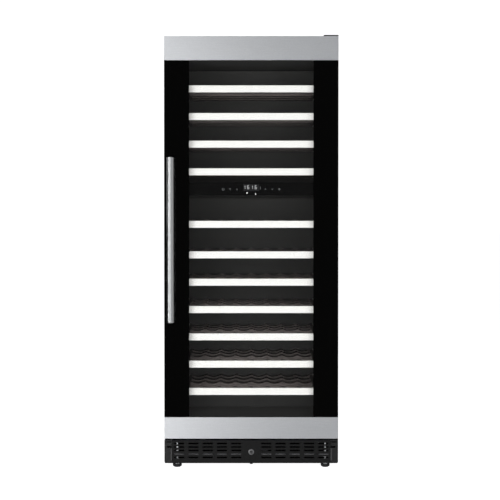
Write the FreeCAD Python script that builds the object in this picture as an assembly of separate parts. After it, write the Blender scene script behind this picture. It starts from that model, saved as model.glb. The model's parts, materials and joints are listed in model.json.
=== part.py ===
import FreeCAD, Part

import math
import os

os.makedirs("parts", exist_ok=True)

# A tall two-zone wine cooler for a 60 cm kitchen niche, in millimetres.
# The origin is on the floor under the middle of its bounding box.
# +X is to the right of someone facing the door, +Y points to the back, +Z is up.

# ---------------------------------------------------------------- driving dimensions

WIDTH = 595.0
DEPTH = 635.0  # from the front of the handle to the heads of the rear screws
HEIGHT = 1482.0  # to the top of the upper hinge plate
HINGE_PLATE = 3.0

HALF = WIDTH / 2
FRONT = -DEPTH / 2
BACK = DEPTH / 2

# door
HANDLE_REACH = 60.0
DOOR_FRONT = FRONT + HANDLE_REACH
DOOR_BACK = DOOR_FRONT + 42.0
DOOR_BOTTOM = 102.0
DOOR_TOP = 1478.0
WINDOW_HALF = 214.0
WINDOW_BOTTOM = 176.0
WINDOW_TOP = 1395.5
PANE = 4.0
GLASS_BACK = DOOR_FRONT + PANE
TRIM_SHEET = 1.5
TRIM_RETURN = 9.5
TRIM_BACK = DOOR_FRONT + TRIM_RETURN
TRIM_JOINT = 0.2  # between each trim and the outer pane
SPACER_WIDTH = 8.0
INNER_PANE_Y = -236.0
INNER_PANE_LAP = 16.0  # how far the inner pane reaches past the clear window
SEAL_OUTER_HALF = 283.0
SEAL_WIDTH = 20.0
SEAL_MARGIN = 13.0  # from the door's lower and upper edges to the seal
SEAL_GAP = 0.4

HANDLE_X = -273.0
HANDLE_RADIUS = 12.5
HANDLE_Y = FRONT + HANDLE_RADIUS
HANDLE_BOTTOM = 503.0
HANDLE_TOP = 1064.0
HANDLE_POST_INSET = 50.0
HANDLE_POST_RADIUS = 8.0

# cabinet
SHEET = 1.0
FIT_GAP = 0.1  # between sheets that are set side by side
CASE_FRONT = DOOR_BACK + 8.0
CASE_BACK = BACK - 2.0
CASE_TOP = HEIGHT - HINGE_PLATE
PAN_BOTTOM = 16.5
PAN_SHEET = 1.5
PAN_TOP = PAN_BOTTOM + PAN_SHEET
PAN_WALL_TOP = 75.0
BOSS_RADIUS = 12.0  # the pan's threaded boss over each foot
BOSS_TOP = 26.0
CASE_OPENING_HALF = 262.0
CASE_OPENING_BOTTOM = 153.0
CASE_OPENING_TOP = 1417.0

LINER_HALF = 250.0
LINER_WALL = 2.0
LINER_FLOOR = 165.0
LINER_CEILING = 1410.0
LINER_BACK = 270.0
LINER_FLANGE_HALF = 290.0
LINER_FLANGE_BOTTOM = 125.0
LINER_FLANGE_TOP = 1445.0
HUMP_START = 60.0  # where the liner's floor starts to rise over the compressor
HUMP_END = 110.0
HUMP_TOP = 240.0
COMPARTMENT_CEILING = 203.0
COMPARTMENT_FRONT = 25.0  # where the foam under the floor ends, and starts to rise
COMPARTMENT_RISEN = 85.0
FLOOR_FOAM_BOTTOM = 105.0

DIVIDER_BOTTOM = 935.0
DIVIDER_TOP = 980.0
DIVIDER_FRONT = -190.0
DIVIDER_HALF = LINER_HALF - 0.4
DIVIDER_WALL = 2.0
PANEL_FRONT = -203.0
DUCT_FRONT = 225.0
DUCT_HALF = 235.0
DUCT_SHEET = 2.5
DIVIDER_BACK = DUCT_FRONT - 0.5
BAFFLE_HALF = 68.0  # the plain plate that stands in front of each fan's opening
BAFFLE_FRONT = DUCT_FRONT - 6.5
BAFFLE_POST_RADIUS = 3.0
BAFFLE_POST_INSET = 8.0
DUCT_SLOT_XS = (-180.0, -108.0, -36.0, 36.0, 108.0, 180.0)
DUCT_SLOT_HALF = (24.0, 8.0)
LIGHT_SIZE = 8.0  # the upright strip lights just inside the side walls
LIGHT_FRONT = -205.0
LIGHT_MARGIN = 10.0

# plinth
PLINTH_FRONT = -255.0
PLINTH_TOP = 97.0
KICK_HALF = 270.5
KICK_DEPTH = 18.0
KICK_WALL = 2.5
KICK_GAP = 0.5  # above and below the grille
KICK_ROUNDING = 4.0
SLOT_ROWS = (85.0, 73.0, 61.0, 49.0, 37.0)
SLOT_HEIGHT = 5.5
SLOT_WIDTH = 34.5
SLOT_COLUMNS = 5
SLOT_FIRST = 51.5
SLOT_PITCH = 48.9
RAIL_INNER = 14.0  # the thin bars behind the grille, one on each side of the lock
RAIL_Y = PLINTH_FRONT + KICK_DEPTH + 20.0
RAIL_Z = 49.0
RAIL_HALF_HEIGHT = 3.0
PLINTH_ROUNDING = 5.0  # at the plinth's lower outer corners
CLIP_HALF = 5.0  # the clip under the middle of the grille
CLIP_DROP = 4.0

# shelves, by the height of each one's middle
SHELF_HEIGHTS = (1303.5, 1208.0, 1112.5, 1017.0, 835.3, 729.5, 634.7, 539.9, 445.1, 350.3, 255.5)
SHELF_FRONT = -195.0
STRIP_HALF = 240.0
STRIP_HEIGHT = 24.0
STRIP_DEPTH = 10.0
RACK_DEPTH = 410.0
RACK_HALF = 236.0
RAIL_WIDTH = 18.0
RAIL_HEIGHT = 18.0
SLATS = ((0.0, 58.0), (172.0, 222.0), (272.0, 322.0), (360.0, 410.0))
BOTTLE_PITCH = 55.4
BOTTLES = 8
SCALLOP_RADIUS = 50.0
SCALLOP_DEPTH = 6.5
RUNNER_SHEET = 1.5
RUNNER_REACH = 20.0
RUNNER_PLAY = 0.5

# hinges
HINGE_X = 285.0
HINGE_Y = DOOR_BACK - 24.0
PIN_RADIUS = 4.0
BUSH_RADIUS = 7.0
BUSH_LENGTH = 16.0
RUNNING_PLAY = 0.05
HINGE_PLATE_LEFT = 248.0
HINGE_PLATE_BACK = -150.0
HINGE_SCREWS = [(x, y) for x in (260.0, 285.0) for y in (-190.0, -165.0)]
HINGE_SCREW_RADIUS = 3.0

# lock
LOCK_Z = 56.0
PLUG_RADIUS = 5.0
BARREL_RADIUS = 8.0
BARREL_LENGTH = 23.0
RING_RADIUS = 10.0
NUT_RADIUS = 11.0
CAM_LENGTH = 57.0
CAM_HALF_WIDTH = 5.0
CAM_Y = -228.0
CAM_THICKNESS = 3.0
KEEPER_PLAY = 4.0  # round the cam, in the slot in the door's bottom edge
KEEPER_RIGHT = 38.0  # the cam swings up through this much of the slot
KEEPER_DEPTH = 15.0

# feet
FOOT_X = 255.0
FOOT_FRONT_Y = -222.0
FOOT_REAR_Y = 285.0
FOOT_SOLE_RADIUS = 11.0
FOOT_RADIUS = 15.5
FOOT_CURVE = 3.5  # how high the sole rises to the pad's full radius
FOOT_PAD_TOP = 13.0
FOOT_COLLAR_RADIUS = 7.0
FOOT_HEIGHT = 16.0
STUD_RADIUS = 3.0
STUD_TOP = 93.0
FEET = {
    "foot_front_left": (-FOOT_X, FOOT_FRONT_Y),
    "foot_front_right": (FOOT_X, FOOT_FRONT_Y),
    "foot_rear_left": (-FOOT_X, FOOT_REAR_Y),
    "foot_rear_right": (FOOT_X, FOOT_REAR_Y),
}

# fans, by the middle of each one's front
FAN_SIZE = 119.0
FAN_DEPTH = 25.0
FAN_HOLE = 56.0
FAN_SHAFT = 2.0
FAN_SHAFT_FRONT = 3.0
FAN_MOTOR_FRONT = 13.0
FAN_SPOKE = 5.0
FAN_HUB = 19.0
FAN_ROTOR_FRONT = 2.5
FAN_ROTOR_DEPTH = 10.0
FAN_BLADE_HALF_WIDTH = 13.0
FAN_BLADE = 2.0
FAN_BLADES = 7
FAN_SWEEP = 54.0
FAN_PITCH_DEGREES = 18.0
UPPER_FAN = (0.0, DUCT_FRONT + DUCT_SHEET, 1215.0)
LOWER_FAN = (0.0, DUCT_FRONT + DUCT_SHEET, 605.0)
CONDENSER_FAN = (120.0, 120.0, PAN_TOP + FAN_SIZE / 2)

# cooling
COMPRESSOR = (-130.0, 200.0)
COMPRESSOR_RADIUS = 65.0
COMPRESSOR_CROWN = 35.0  # the flat at each end of the pot
COMPRESSOR_TOP = 165.0
COMPRESSOR_SHOULDER = 35.0  # how far the pot's ends taper along its axis
COMPRESSOR_PLATE = 3.0
COMPRESSOR_PLATE_HALF = (75.0, 70.0)
MOUNT_HEIGHT = 6.5
MOUNT_RADIUS = 12.0
MOUNT_HALF_SPAN = (60.0, 55.0)
PIPE_RADIUS = 3.0
PIPE_BEND = 12.0
PIPE_END_GAP = 0.2
RISER_Y = 293.0
LOWER_RISER = (105.0, 40.0, 115.0)  # x, height above the coil's bottom, height of its turn
UPPER_RISER = (85.0, 50.0, 135.0)
UPPER_RISER_SHIFT = 30.0  # from the compressor's middle to where the upper riser meets it
DISCHARGE_LEVEL = 78.0
COIL_HALF = 115.0
COIL_FRONT = 232.0
COIL_BACK = 262.0
UPPER_COIL = (1015.0, 1115.0)
LOWER_COIL = (305.0, 405.0)
CONDENSER_HALF = 180.0
CONDENSER_FRONT = -190.0
CONDENSER_BACK = -150.0
CONDENSER_TOP = 95.0
FIN = 1.2
FIN_PITCH = 12.0
COIL_TUBE = 3.5
TRAY_HEIGHT = 22.0
TRAY_WALL = 2.0
TRAY_HALF = (70.0, 60.0)

# back
INLET_X = -230.0
INLET_Z = 95.0
INLET_HALF_WIDTH = 25.0
INLET_HALF_HEIGHT = 15.0
INLET_FRONT = 299.0
INLET_FLOOR = 1.5
INLET_RECESS_HALF = (12.0, 8.0)
INLET_PINS = ((-7.0, -2.0), (0.0, 3.0), (7.0, -2.0))
INLET_PIN_LENGTH = 10.5
REAR_SLOTS_X = 110.0
REAR_SLOTS_Z = 115.0
REAR_SCREW_RADIUS = 4.0
REAR_SCREW_XS = (-285.0, 0.0, 285.0)
REAR_SCREW_ZS = (45.0, 220.0, 645.0, 1065.0, 1460.0)

# ---------------------------------------------------------------- small helpers


def vector(x, y, z):
    return FreeCAD.Vector(x, y, z)


def block(x0, x1, y0, y1, z0, z1):
    return Part.makeBox(x1 - x0, y1 - y0, z1 - z0, vector(x0, y0, z0))


def centred_block(half, y0, y1, z0, z1):
    return block(-half, half, y0, y1, z0, z1)


def rod(radius, start, end):
    """A round bar between two points."""
    start = vector(*start)
    direction = vector(*end) - start
    return Part.makeCylinder(radius, direction.Length, start, direction)


def joined(*shapes):
    """One clean solid from shapes that touch or overlap."""
    whole = shapes[0].multiFuse(list(shapes[1:]))
    return whole.removeSplitter()


def without(shape, *tools):
    return shape.cut(list(tools))


def mirrored(shape):
    """The same shape on the other side of the middle plane."""
    return shape.mirror(vector(0, 0, 0), vector(1, 0, 0))


def moved(shape, x, y, z):
    return shape.translated(vector(x, y, z))


def prism_along_x(outline, half):
    """An outline of (y, z) points, carried from -half to +half along X."""
    corners = [vector(-half, y, z) for y, z in outline]
    face = Part.Face(Part.makePolygon(corners + corners[:1]))
    return face.extrude(vector(2 * half, 0, 0))


def rounded_path(points, bend):
    """Straight runs through the points, with a tangent arc of radius bend at each corner."""
    points = [vector(*p) for p in points]
    edges = []
    start = points[0]
    for before, corner, after in zip(points, points[1:], points[2:]):
        back = (before - corner).normalize()
        on = (after - corner).normalize()
        half_angle = back.getAngle(on) / 2
        reach = bend / math.tan(half_angle)
        middle = (back + on).normalize() * (bend / math.sin(half_angle) - bend)
        entry = corner + back * reach
        leave = corner + on * reach
        edges.append(Part.makeLine(start, entry))
        edges.append(Part.Arc(entry, corner + middle, leave).toShape())
        start = leave
    edges.append(Part.makeLine(start, points[-1]))
    return Part.Wire(edges)


def pipe(points, radius, bend=PIPE_BEND):
    path = rounded_path(points, bend)
    first = vector(*points[0])
    along = vector(*points[1]) - first
    profile = Part.Wire([Part.makeCircle(radius, first, along)])
    return path.makePipeShell([profile], True, False)


def save(node, *shapes):
    solids = [solid for shape in shapes for solid in shape.Solids]
    Part.makeCompound(solids).exportStep(f"parts/{node}.step")


# ---------------------------------------------------------------- cabinet


def outer_case():
    """The folded steel wrapper: two sides, the top, and the front flange that the seal meets."""
    body = centred_block(HALF, CASE_FRONT, CASE_BACK - SHEET, PAN_BOTTOM, CASE_TOP)
    inside = centred_block(HALF - SHEET, CASE_FRONT + SHEET, BACK, 0, CASE_TOP - SHEET)
    opening = centred_block(
        CASE_OPENING_HALF, FRONT, BACK, CASE_OPENING_BOTTOM, CASE_OPENING_TOP
    )
    below_door = centred_block(HALF - SHEET, FRONT, BACK, 0, DOOR_BOTTOM)
    return without(body, inside, opening, below_door)


def grille_slots(rows, columns, pitch, size, centre, depth):
    """Slot cutters in a rectangular array; pitch, size and centre are (x, z), depth is (y, y)."""
    half_x, half_z = size[0] / 2, size[1] / 2
    slots = []
    for row in range(rows):
        z = centre[1] + (row - (rows - 1) / 2) * pitch[1]
        for column in range(columns):
            x = centre[0] + (column - (columns - 1) / 2) * pitch[0]
            slots.append(block(x - half_x, x + half_x, *depth, z - half_z, z + half_z))
    return slots


def rear_panel():
    """The flat back sheet, with air slots behind the compressor and a hole for the mains inlet."""
    sheet = centred_block(HALF, CASE_BACK - SHEET, CASE_BACK, PAN_BOTTOM, CASE_TOP)
    slots = grille_slots(
        rows=6,
        columns=4,
        pitch=(60, 18),
        size=(48, 6),
        centre=(REAR_SLOTS_X, REAR_SLOTS_Z),
        depth=(CASE_BACK - 5, CASE_BACK + 5),
    )
    inlet_hole = block(
        INLET_X - INLET_HALF_WIDTH,
        INLET_X + INLET_HALF_WIDTH,
        CASE_BACK - 5,
        CASE_BACK + 5,
        INLET_Z - INLET_HALF_HEIGHT,
        INLET_Z + INLET_HALF_HEIGHT,
    )
    return without(sheet, inlet_hole, *slots)


def base_pan():
    """The steel tray that carries the compressor, with a threaded boss over each foot."""
    wall_outer = HALF - SHEET - FIT_GAP
    back = CASE_BACK - SHEET - FIT_GAP
    floor = centred_block(wall_outer, PLINTH_FRONT + 5, back, PAN_BOTTOM, PAN_TOP)
    wall = block(
        wall_outer - PAN_SHEET, wall_outer, CASE_FRONT + 2, back, PAN_BOTTOM, PAN_WALL_TOP
    )
    bosses = [rod(BOSS_RADIUS, (x, y, PAN_BOTTOM), (x, y, BOSS_TOP)) for x, y in FEET.values()]
    bores = [
        rod(STUD_RADIUS + RUNNING_PLAY, (x, y, 0), (x, y, HEIGHT)) for x, y in FEET.values()
    ]
    return without(joined(floor, wall, mirrored(wall), *bosses), *bores)


def plinth_corner():
    """The folded block at the right end of the plinth, with the bar behind the grille."""
    inner = KICK_HALF + 1
    back = CASE_FRONT - 0.5
    bottom = PAN_TOP + FIT_GAP
    body = block(inner, HALF, PLINTH_FRONT, back, bottom, PLINTH_TOP)
    outer_low = [
        edge
        for edge in body.Edges
        if edge.BoundBox.XMin > HALF - 1 and edge.BoundBox.ZMax < bottom + 1
    ]
    body = body.makeFillet(PLINTH_ROUNDING, outer_low)
    hollow = block(
        0, HALF - PAN_SHEET, PLINTH_FRONT + PAN_SHEET, BACK, 0, PLINTH_TOP - PAN_SHEET
    )
    bar = block(
        RAIL_INNER,
        HALF - 1,
        RAIL_Y,
        RAIL_Y + PAN_SHEET,
        RAIL_Z - RAIL_HALF_HEIGHT,
        RAIL_Z + RAIL_HALF_HEIGHT,
    )
    return joined(without(body, hollow), bar)


def liner_outline(wall):
    """The inside of the cooled space seen from the side, grown outwards by wall."""
    steep = math.hypot(HUMP_END - HUMP_START, HUMP_TOP - LINER_FLOOR)
    rise = HUMP_TOP - LINER_FLOOR
    run = HUMP_END - HUMP_START
    shift = wall * (steep - run) / rise
    return [
        (CASE_FRONT + SHEET, LINER_FLOOR - wall),
        (HUMP_START + shift, LINER_FLOOR - wall),
        (HUMP_END + shift, HUMP_TOP - wall),
        (LINER_BACK + wall, HUMP_TOP - wall),
        (LINER_BACK + wall, LINER_CEILING + wall),
        (CASE_FRONT + SHEET, LINER_CEILING + wall),
    ]


def riser_points():
    """The routes of the two suction pipes, from each evaporator down to the compressor."""
    x, y = COMPRESSOR
    upper_reach = math.sqrt(COMPRESSOR_RADIUS**2 - UPPER_RISER_SHIFT**2) + 0.5
    lower_reach = COMPRESSOR_RADIUS + PIPE_END_GAP
    return (
        riser(LOWER_RISER, LOWER_COIL[0], x, y + lower_reach),
        riser(UPPER_RISER, UPPER_COIL[0], x + UPPER_RISER_SHIFT, y + upper_reach),
    )


def riser(place, coil_bottom, end_x, end_y):
    """One pipe's route: out of the coil, down behind the liner, across, and forward."""
    x, above_coil, turn = place
    start = coil_bottom + above_coil
    return [
        (x, COIL_BACK + PIPE_END_GAP, start),
        (x, RISER_Y, start),
        (x, RISER_Y, turn),
        (end_x, RISER_Y, turn),
        (end_x, end_y, turn),
    ]


def pipe_clearances():
    return [pipe(points, PIPE_RADIUS + 0.4) for points in riser_points()]


def inner_liner():
    """The moulded plastic lining, open at the front, with a hump over the compressor."""
    shell = without(
        prism_along_x(liner_outline(LINER_WALL), LINER_HALF + LINER_WALL),
        prism_along_x(liner_outline(0), LINER_HALF),
    )
    flange_front = CASE_FRONT + SHEET
    flange = without(
        centred_block(
            LINER_FLANGE_HALF,
            flange_front,
            flange_front + LINER_WALL,
            LINER_FLANGE_BOTTOM,
            LINER_FLANGE_TOP,
        ),
        centred_block(LINER_HALF, FRONT, BACK, LINER_FLOOR, LINER_CEILING),
    )
    return without(joined(shell, flange), *pipe_clearances())


def insulation():
    """The foam between the lining and the steel, open below for the compressor."""
    front = CASE_FRONT + SHEET + LINER_WALL
    back = CASE_BACK - SHEET
    outline = [
        (front, FLOOR_FOAM_BOTTOM),
        (COMPARTMENT_FRONT, FLOOR_FOAM_BOTTOM),
        (COMPARTMENT_RISEN, COMPARTMENT_CEILING),
        (back, COMPARTMENT_CEILING),
        (back, CASE_TOP - SHEET),
        (front, CASE_TOP - SHEET),
    ]
    foam = prism_along_x(outline, HALF - SHEET)
    cavity = prism_along_x(liner_outline(LINER_WALL), LINER_HALF + LINER_WALL)
    return without(foam, cavity, *pipe_clearances())


def zone_divider():
    """The flat box that parts the two temperature zones."""
    outside = centred_block(
        DIVIDER_HALF, DIVIDER_FRONT, DIVIDER_BACK, DIVIDER_BOTTOM, DIVIDER_TOP
    )
    inside = centred_block(
        DIVIDER_HALF - DIVIDER_WALL,
        FRONT,
        BACK,
        DIVIDER_BOTTOM + DIVIDER_WALL,
        DIVIDER_TOP - DIVIDER_WALL,
    )
    return without(outside, inside)


def divider_foam():
    return centred_block(
        DIVIDER_HALF - DIVIDER_WALL,
        DIVIDER_FRONT + DIVIDER_WALL,
        DIVIDER_BACK - DIVIDER_WALL,
        DIVIDER_BOTTOM + DIVIDER_WALL,
        DIVIDER_TOP - DIVIDER_WALL,
    )


def control_panel():
    """The glossy fascia on the front of the divider, hollow behind."""
    outside = centred_block(
        DIVIDER_HALF, PANEL_FRONT, DIVIDER_FRONT, DIVIDER_BOTTOM, DIVIDER_TOP
    )
    inside = centred_block(
        DIVIDER_HALF - DIVIDER_WALL,
        PANEL_FRONT + DIVIDER_WALL,
        BACK,
        DIVIDER_BOTTOM + DIVIDER_WALL,
        DIVIDER_TOP - DIVIDER_WALL,
    )
    return without(outside, inside)


def duct_cover(bottom, top, fan_z):
    """A shallow tray over an evaporator; a plain plate on four posts screens the fan's opening."""
    outside = centred_block(DUCT_HALF, DUCT_FRONT, LINER_BACK - 0.2, bottom, top)
    inside = centred_block(
        DUCT_HALF - DUCT_SHEET,
        DUCT_FRONT + DUCT_SHEET,
        BACK,
        bottom + DUCT_SHEET,
        top - DUCT_SHEET,
    )
    fan_opening = rod(FAN_HOLE - 4, (0, DUCT_FRONT - 1, fan_z), (0, DUCT_FRONT + 5, fan_z))
    tray = without(outside, inside, fan_opening, *duct_edge_slots(bottom), *duct_edge_slots(top))
    plate = centred_block(
        BAFFLE_HALF, BAFFLE_FRONT, BAFFLE_FRONT + DUCT_SHEET, fan_z - BAFFLE_HALF, fan_z + BAFFLE_HALF
    )
    reach = BAFFLE_HALF - BAFFLE_POST_INSET
    posts = [
        rod(BAFFLE_POST_RADIUS, (x, BAFFLE_FRONT + 1, z), (x, DUCT_FRONT + 1, z))
        for x in (-reach, reach)
        for z in (fan_z - reach, fan_z + reach)
    ]
    return joined(tray, plate, *posts)


def duct_edge_slots(level):
    """Air slots through the tray's bottom or top edge."""
    middle = (DUCT_FRONT + LINER_BACK) / 2
    half_x, half_y = DUCT_SLOT_HALF
    return [
        block(x - half_x, x + half_x, middle - half_y, middle + half_y, level - 5, level + 5)
        for x in DUCT_SLOT_XS
    ]


def finned_coil(half, y0, y1, z0, z1, rows):
    """Thin upright fins on straight tubes that run from side to side."""
    count = int(2 * half // FIN_PITCH)
    fins = []
    for index in range(count + 1):
        x = -half + index * (2 * half - FIN) / count
        fins.append(block(x, x + FIN, y0, y1, z0, z1))
    tubes = []
    for row in range(rows):
        z = z0 + (row + 0.5) * (z1 - z0) / rows
        y = (y0 + y1) / 2
        tubes.append(rod(COIL_TUBE, (-half - 6, y, z), (half + 6, y, z)))
    return joined(*tubes, *fins)


def light_bar(bottom, top):
    """A slim upright strip light on the right wall, just behind the liner's front edge."""
    return block(
        LINER_HALF - LIGHT_SIZE,
        LINER_HALF,
        LIGHT_FRONT,
        LIGHT_FRONT + LIGHT_SIZE,
        bottom + LIGHT_MARGIN,
        top - LIGHT_MARGIN,
    )


def runner(shelf_z):
    """The right-hand steel channel that one shelf slides in."""
    wall = LINER_HALF
    middle = shelf_z - STRIP_HEIGHT / 2 + TRIM_SHEET + RAIL_HEIGHT / 2
    half_slot = RAIL_HEIGHT / 2 + RUNNER_PLAY
    y0 = SHELF_FRONT + STRIP_DEPTH + 1
    y1 = SHELF_FRONT + RACK_DEPTH + 1
    outside = block(
        wall - RUNNER_REACH,
        wall,
        y0,
        y1,
        middle - half_slot - RUNNER_SHEET,
        middle + half_slot + RUNNER_SHEET,
    )
    slot = block(
        0, wall - RUNNER_SHEET, FRONT, BACK, middle - half_slot, middle + half_slot
    )
    return without(outside, slot)


# ---------------------------------------------------------------- plinth


def kick_plate():
    """The moulded grille under the door, with the key lock's hole in its middle."""
    bottom = PAN_TOP + KICK_GAP
    top = PLINTH_TOP - KICK_GAP
    outside = centred_block(KICK_HALF, PLINTH_FRONT, PLINTH_FRONT + KICK_DEPTH, bottom, top)
    low_edges = [
        edge
        for edge in outside.Edges
        if edge.BoundBox.YLength > 1 and edge.BoundBox.ZMax < bottom + 1
    ]
    outside = outside.makeFillet(KICK_ROUNDING, low_edges)
    inside = centred_block(
        KICK_HALF - KICK_WALL, PLINTH_FRONT + KICK_WALL, BACK, bottom + KICK_WALL, top - KICK_WALL
    )
    cutters = [rod(BARREL_RADIUS + 0.2, (0, FRONT, LOCK_Z), (0, BACK, LOCK_Z))]
    for z in SLOT_ROWS:
        for column in range(SLOT_COLUMNS):
            x = SLOT_FIRST + column * SLOT_PITCH
            slot = block(
                x - SLOT_WIDTH / 2,
                x + SLOT_WIDTH / 2,
                PLINTH_FRONT - 1,
                PLINTH_FRONT + KICK_WALL + 1,
                z - SLOT_HEIGHT / 2,
                z + SLOT_HEIGHT / 2,
            )
            cutters += [slot, mirrored(slot)]
    clip = centred_block(
        CLIP_HALF, PLINTH_FRONT + 0.5, PLINTH_FRONT + 4, bottom - CLIP_DROP, bottom + 1
    )
    return joined(without(outside, inside, *cutters), clip)


def lock_body():
    """The fixed barrel of the key lock, with its ring in front and its nut behind."""
    front = PLINTH_FRONT - 1.5
    back = PLINTH_FRONT + BARREL_LENGTH
    ring = rod(RING_RADIUS, (0, front, LOCK_Z), (0, PLINTH_FRONT, LOCK_Z))
    barrel = rod(BARREL_RADIUS, (0, PLINTH_FRONT, LOCK_Z), (0, back, LOCK_Z))
    nut = rod(NUT_RADIUS, (0, PLINTH_FRONT + KICK_WALL, LOCK_Z), (0, PLINTH_FRONT + 6, LOCK_Z))
    bore = rod(PLUG_RADIUS + RUNNING_PLAY, (0, FRONT, LOCK_Z), (0, BACK, LOCK_Z))
    return without(joined(ring, barrel, nut), bore)


def lock_plug():
    """The turning plug with its keyway, and the cam that rises into the door when it locks."""
    front = PLINTH_FRONT - 1.3
    plug = rod(PLUG_RADIUS, (0, front, LOCK_Z), (0, CAM_Y, LOCK_Z))
    keyway = centred_block(0.8, front - 1, front + 12, LOCK_Z - 3, LOCK_Z + 3)
    cam = block(
        0,
        CAM_LENGTH,
        CAM_Y,
        CAM_Y + CAM_THICKNESS,
        LOCK_Z - CAM_HALF_WIDTH,
        LOCK_Z + CAM_HALF_WIDTH,
    )
    eye = rod(BARREL_RADIUS, (0, CAM_Y, LOCK_Z), (0, CAM_Y + CAM_THICKNESS, LOCK_Z))
    return without(joined(plug, cam, eye), keyway)


def foot(x, y):
    """A levelling foot: a pad and its collar, on a stud that screws into the base pan."""
    sole = Part.makeCone(
        FOOT_SOLE_RADIUS, FOOT_RADIUS, FOOT_CURVE, vector(x, y, 0), vector(0, 0, 1)
    )
    pad = rod(FOOT_RADIUS, (x, y, FOOT_CURVE), (x, y, FOOT_PAD_TOP))
    collar = rod(FOOT_COLLAR_RADIUS, (x, y, FOOT_PAD_TOP), (x, y, FOOT_HEIGHT))
    stud = rod(STUD_RADIUS, (x, y, FOOT_HEIGHT), (x, y, STUD_TOP))
    return joined(sole, pad, collar, stud)


# ---------------------------------------------------------------- hinges and door


def hinge_brackets():
    """The two pin plates: one on the cabinet's top, one on the plinth's right corner."""
    pin_below = rod(
        PIN_RADIUS, (HINGE_X, HINGE_Y, CASE_TOP), (HINGE_X, HINGE_Y, DOOR_TOP - BUSH_LENGTH + 1)
    )
    upper_plate = block(
        HINGE_PLATE_LEFT, HALF, PLINTH_FRONT, HINGE_PLATE_BACK, CASE_TOP, HEIGHT
    )
    upper_holes = [
        rod(HINGE_SCREW_RADIUS, (x, y, CASE_TOP - 1), (x, y, HEIGHT + 1)) for x, y in HINGE_SCREWS
    ]
    upper = without(joined(upper_plate, pin_below), *upper_holes)
    plate_top = PLINTH_TOP + HINGE_PLATE
    lower_plate = block(
        HINGE_PLATE_LEFT, HALF, PLINTH_FRONT + 1, CASE_FRONT - 0.5, PLINTH_TOP, plate_top
    )
    shoulder = rod(BUSH_RADIUS, (HINGE_X, HINGE_Y, plate_top), (HINGE_X, HINGE_Y, DOOR_BOTTOM))
    pin_above = rod(
        PIN_RADIUS,
        (HINGE_X, HINGE_Y, plate_top),
        (HINGE_X, HINGE_Y, DOOR_BOTTOM + BUSH_LENGTH - 1),
    )
    return upper, joined(lower_plate, shoulder, pin_above)


def hinge_bushes():
    """The nylon sleeves in the door that the hinge pins turn in."""
    bushes = []
    for bottom in (DOOR_BOTTOM, DOOR_TOP - BUSH_LENGTH):
        top = bottom + BUSH_LENGTH
        sleeve = rod(BUSH_RADIUS, (HINGE_X, HINGE_Y, bottom), (HINGE_X, HINGE_Y, top))
        bore = rod(PIN_RADIUS + RUNNING_PLAY, (HINGE_X, HINGE_Y, 0), (HINGE_X, HINGE_Y, HEIGHT))
        bushes.append(without(sleeve, bore))
    return bushes


def door_trims():
    """The brushed steel caps across the top and the bottom of the door."""
    trims = []
    edges = (
        (WINDOW_TOP + TRIM_JOINT, DOOR_TOP, 0, -TRIM_SHEET),
        (DOOR_BOTTOM, WINDOW_BOTTOM - TRIM_JOINT, TRIM_SHEET, 0),
    )
    for bottom, top, raise_bottom, lower_top in edges:
        outside = centred_block(HALF, DOOR_FRONT, TRIM_BACK, bottom, top)
        inside = centred_block(
            HALF - TRIM_SHEET, DOOR_FRONT + TRIM_SHEET, BACK, bottom + raise_bottom, top + lower_top
        )
        trims.append(without(outside, inside))
    return trims


def door_frame():
    """The black frame that holds both panes, with seats for the trims, bushes and lock cam."""
    main = centred_block(HALF, TRIM_BACK, DOOR_BACK, DOOR_BOTTOM, DOOR_TOP)
    behind_glass = centred_block(
        HALF, GLASS_BACK, TRIM_BACK, WINDOW_BOTTOM - TRIM_JOINT, WINDOW_TOP + TRIM_JOINT
    )
    behind_trims = [
        centred_block(HALF - TRIM_SHEET, DOOR_FRONT + TRIM_SHEET, TRIM_BACK, bottom, top)
        for bottom, top in (
            (DOOR_BOTTOM + TRIM_SHEET, WINDOW_BOTTOM - TRIM_JOINT),
            (WINDOW_TOP + TRIM_JOINT, DOOR_TOP - TRIM_SHEET),
        )
    ]
    window = centred_block(
        WINDOW_HALF + SPACER_WIDTH,
        FRONT,
        BACK,
        WINDOW_BOTTOM - SPACER_WIDTH,
        WINDOW_TOP + SPACER_WIDTH,
    )
    rabbet = centred_block(
        WINDOW_HALF + INNER_PANE_LAP,
        INNER_PANE_Y,
        BACK,
        WINDOW_BOTTOM - INNER_PANE_LAP,
        WINDOW_TOP + INNER_PANE_LAP,
    )
    bush_seats = [
        rod(BUSH_RADIUS, (HINGE_X, HINGE_Y, bottom), (HINGE_X, HINGE_Y, bottom + BUSH_LENGTH))
        for bottom in (DOOR_BOTTOM, DOOR_TOP - BUSH_LENGTH)
    ]
    keeper = block(
        -CAM_HALF_WIDTH - KEEPER_PLAY,
        KEEPER_RIGHT,
        CAM_Y - KEEPER_PLAY,
        CAM_Y + CAM_THICKNESS + KEEPER_PLAY,
        0,
        DOOR_BOTTOM + KEEPER_DEPTH,
    )
    solid = joined(main, behind_glass, *behind_trims)
    return without(solid, window, rabbet, keeper, *bush_seats)


def glass_outer():
    return centred_block(HALF, DOOR_FRONT, GLASS_BACK, WINDOW_BOTTOM, WINDOW_TOP)


def glass_inner():
    return centred_block(
        WINDOW_HALF + INNER_PANE_LAP,
        INNER_PANE_Y,
        INNER_PANE_Y + PANE,
        WINDOW_BOTTOM - INNER_PANE_LAP,
        WINDOW_TOP + INNER_PANE_LAP,
    )


def glass_spacer():
    """The bar that keeps the two panes apart."""
    outside = centred_block(
        WINDOW_HALF + SPACER_WIDTH,
        GLASS_BACK,
        INNER_PANE_Y,
        WINDOW_BOTTOM - SPACER_WIDTH,
        WINDOW_TOP + SPACER_WIDTH,
    )
    return without(outside, centred_block(WINDOW_HALF, FRONT, BACK, WINDOW_BOTTOM, WINDOW_TOP))


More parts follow.
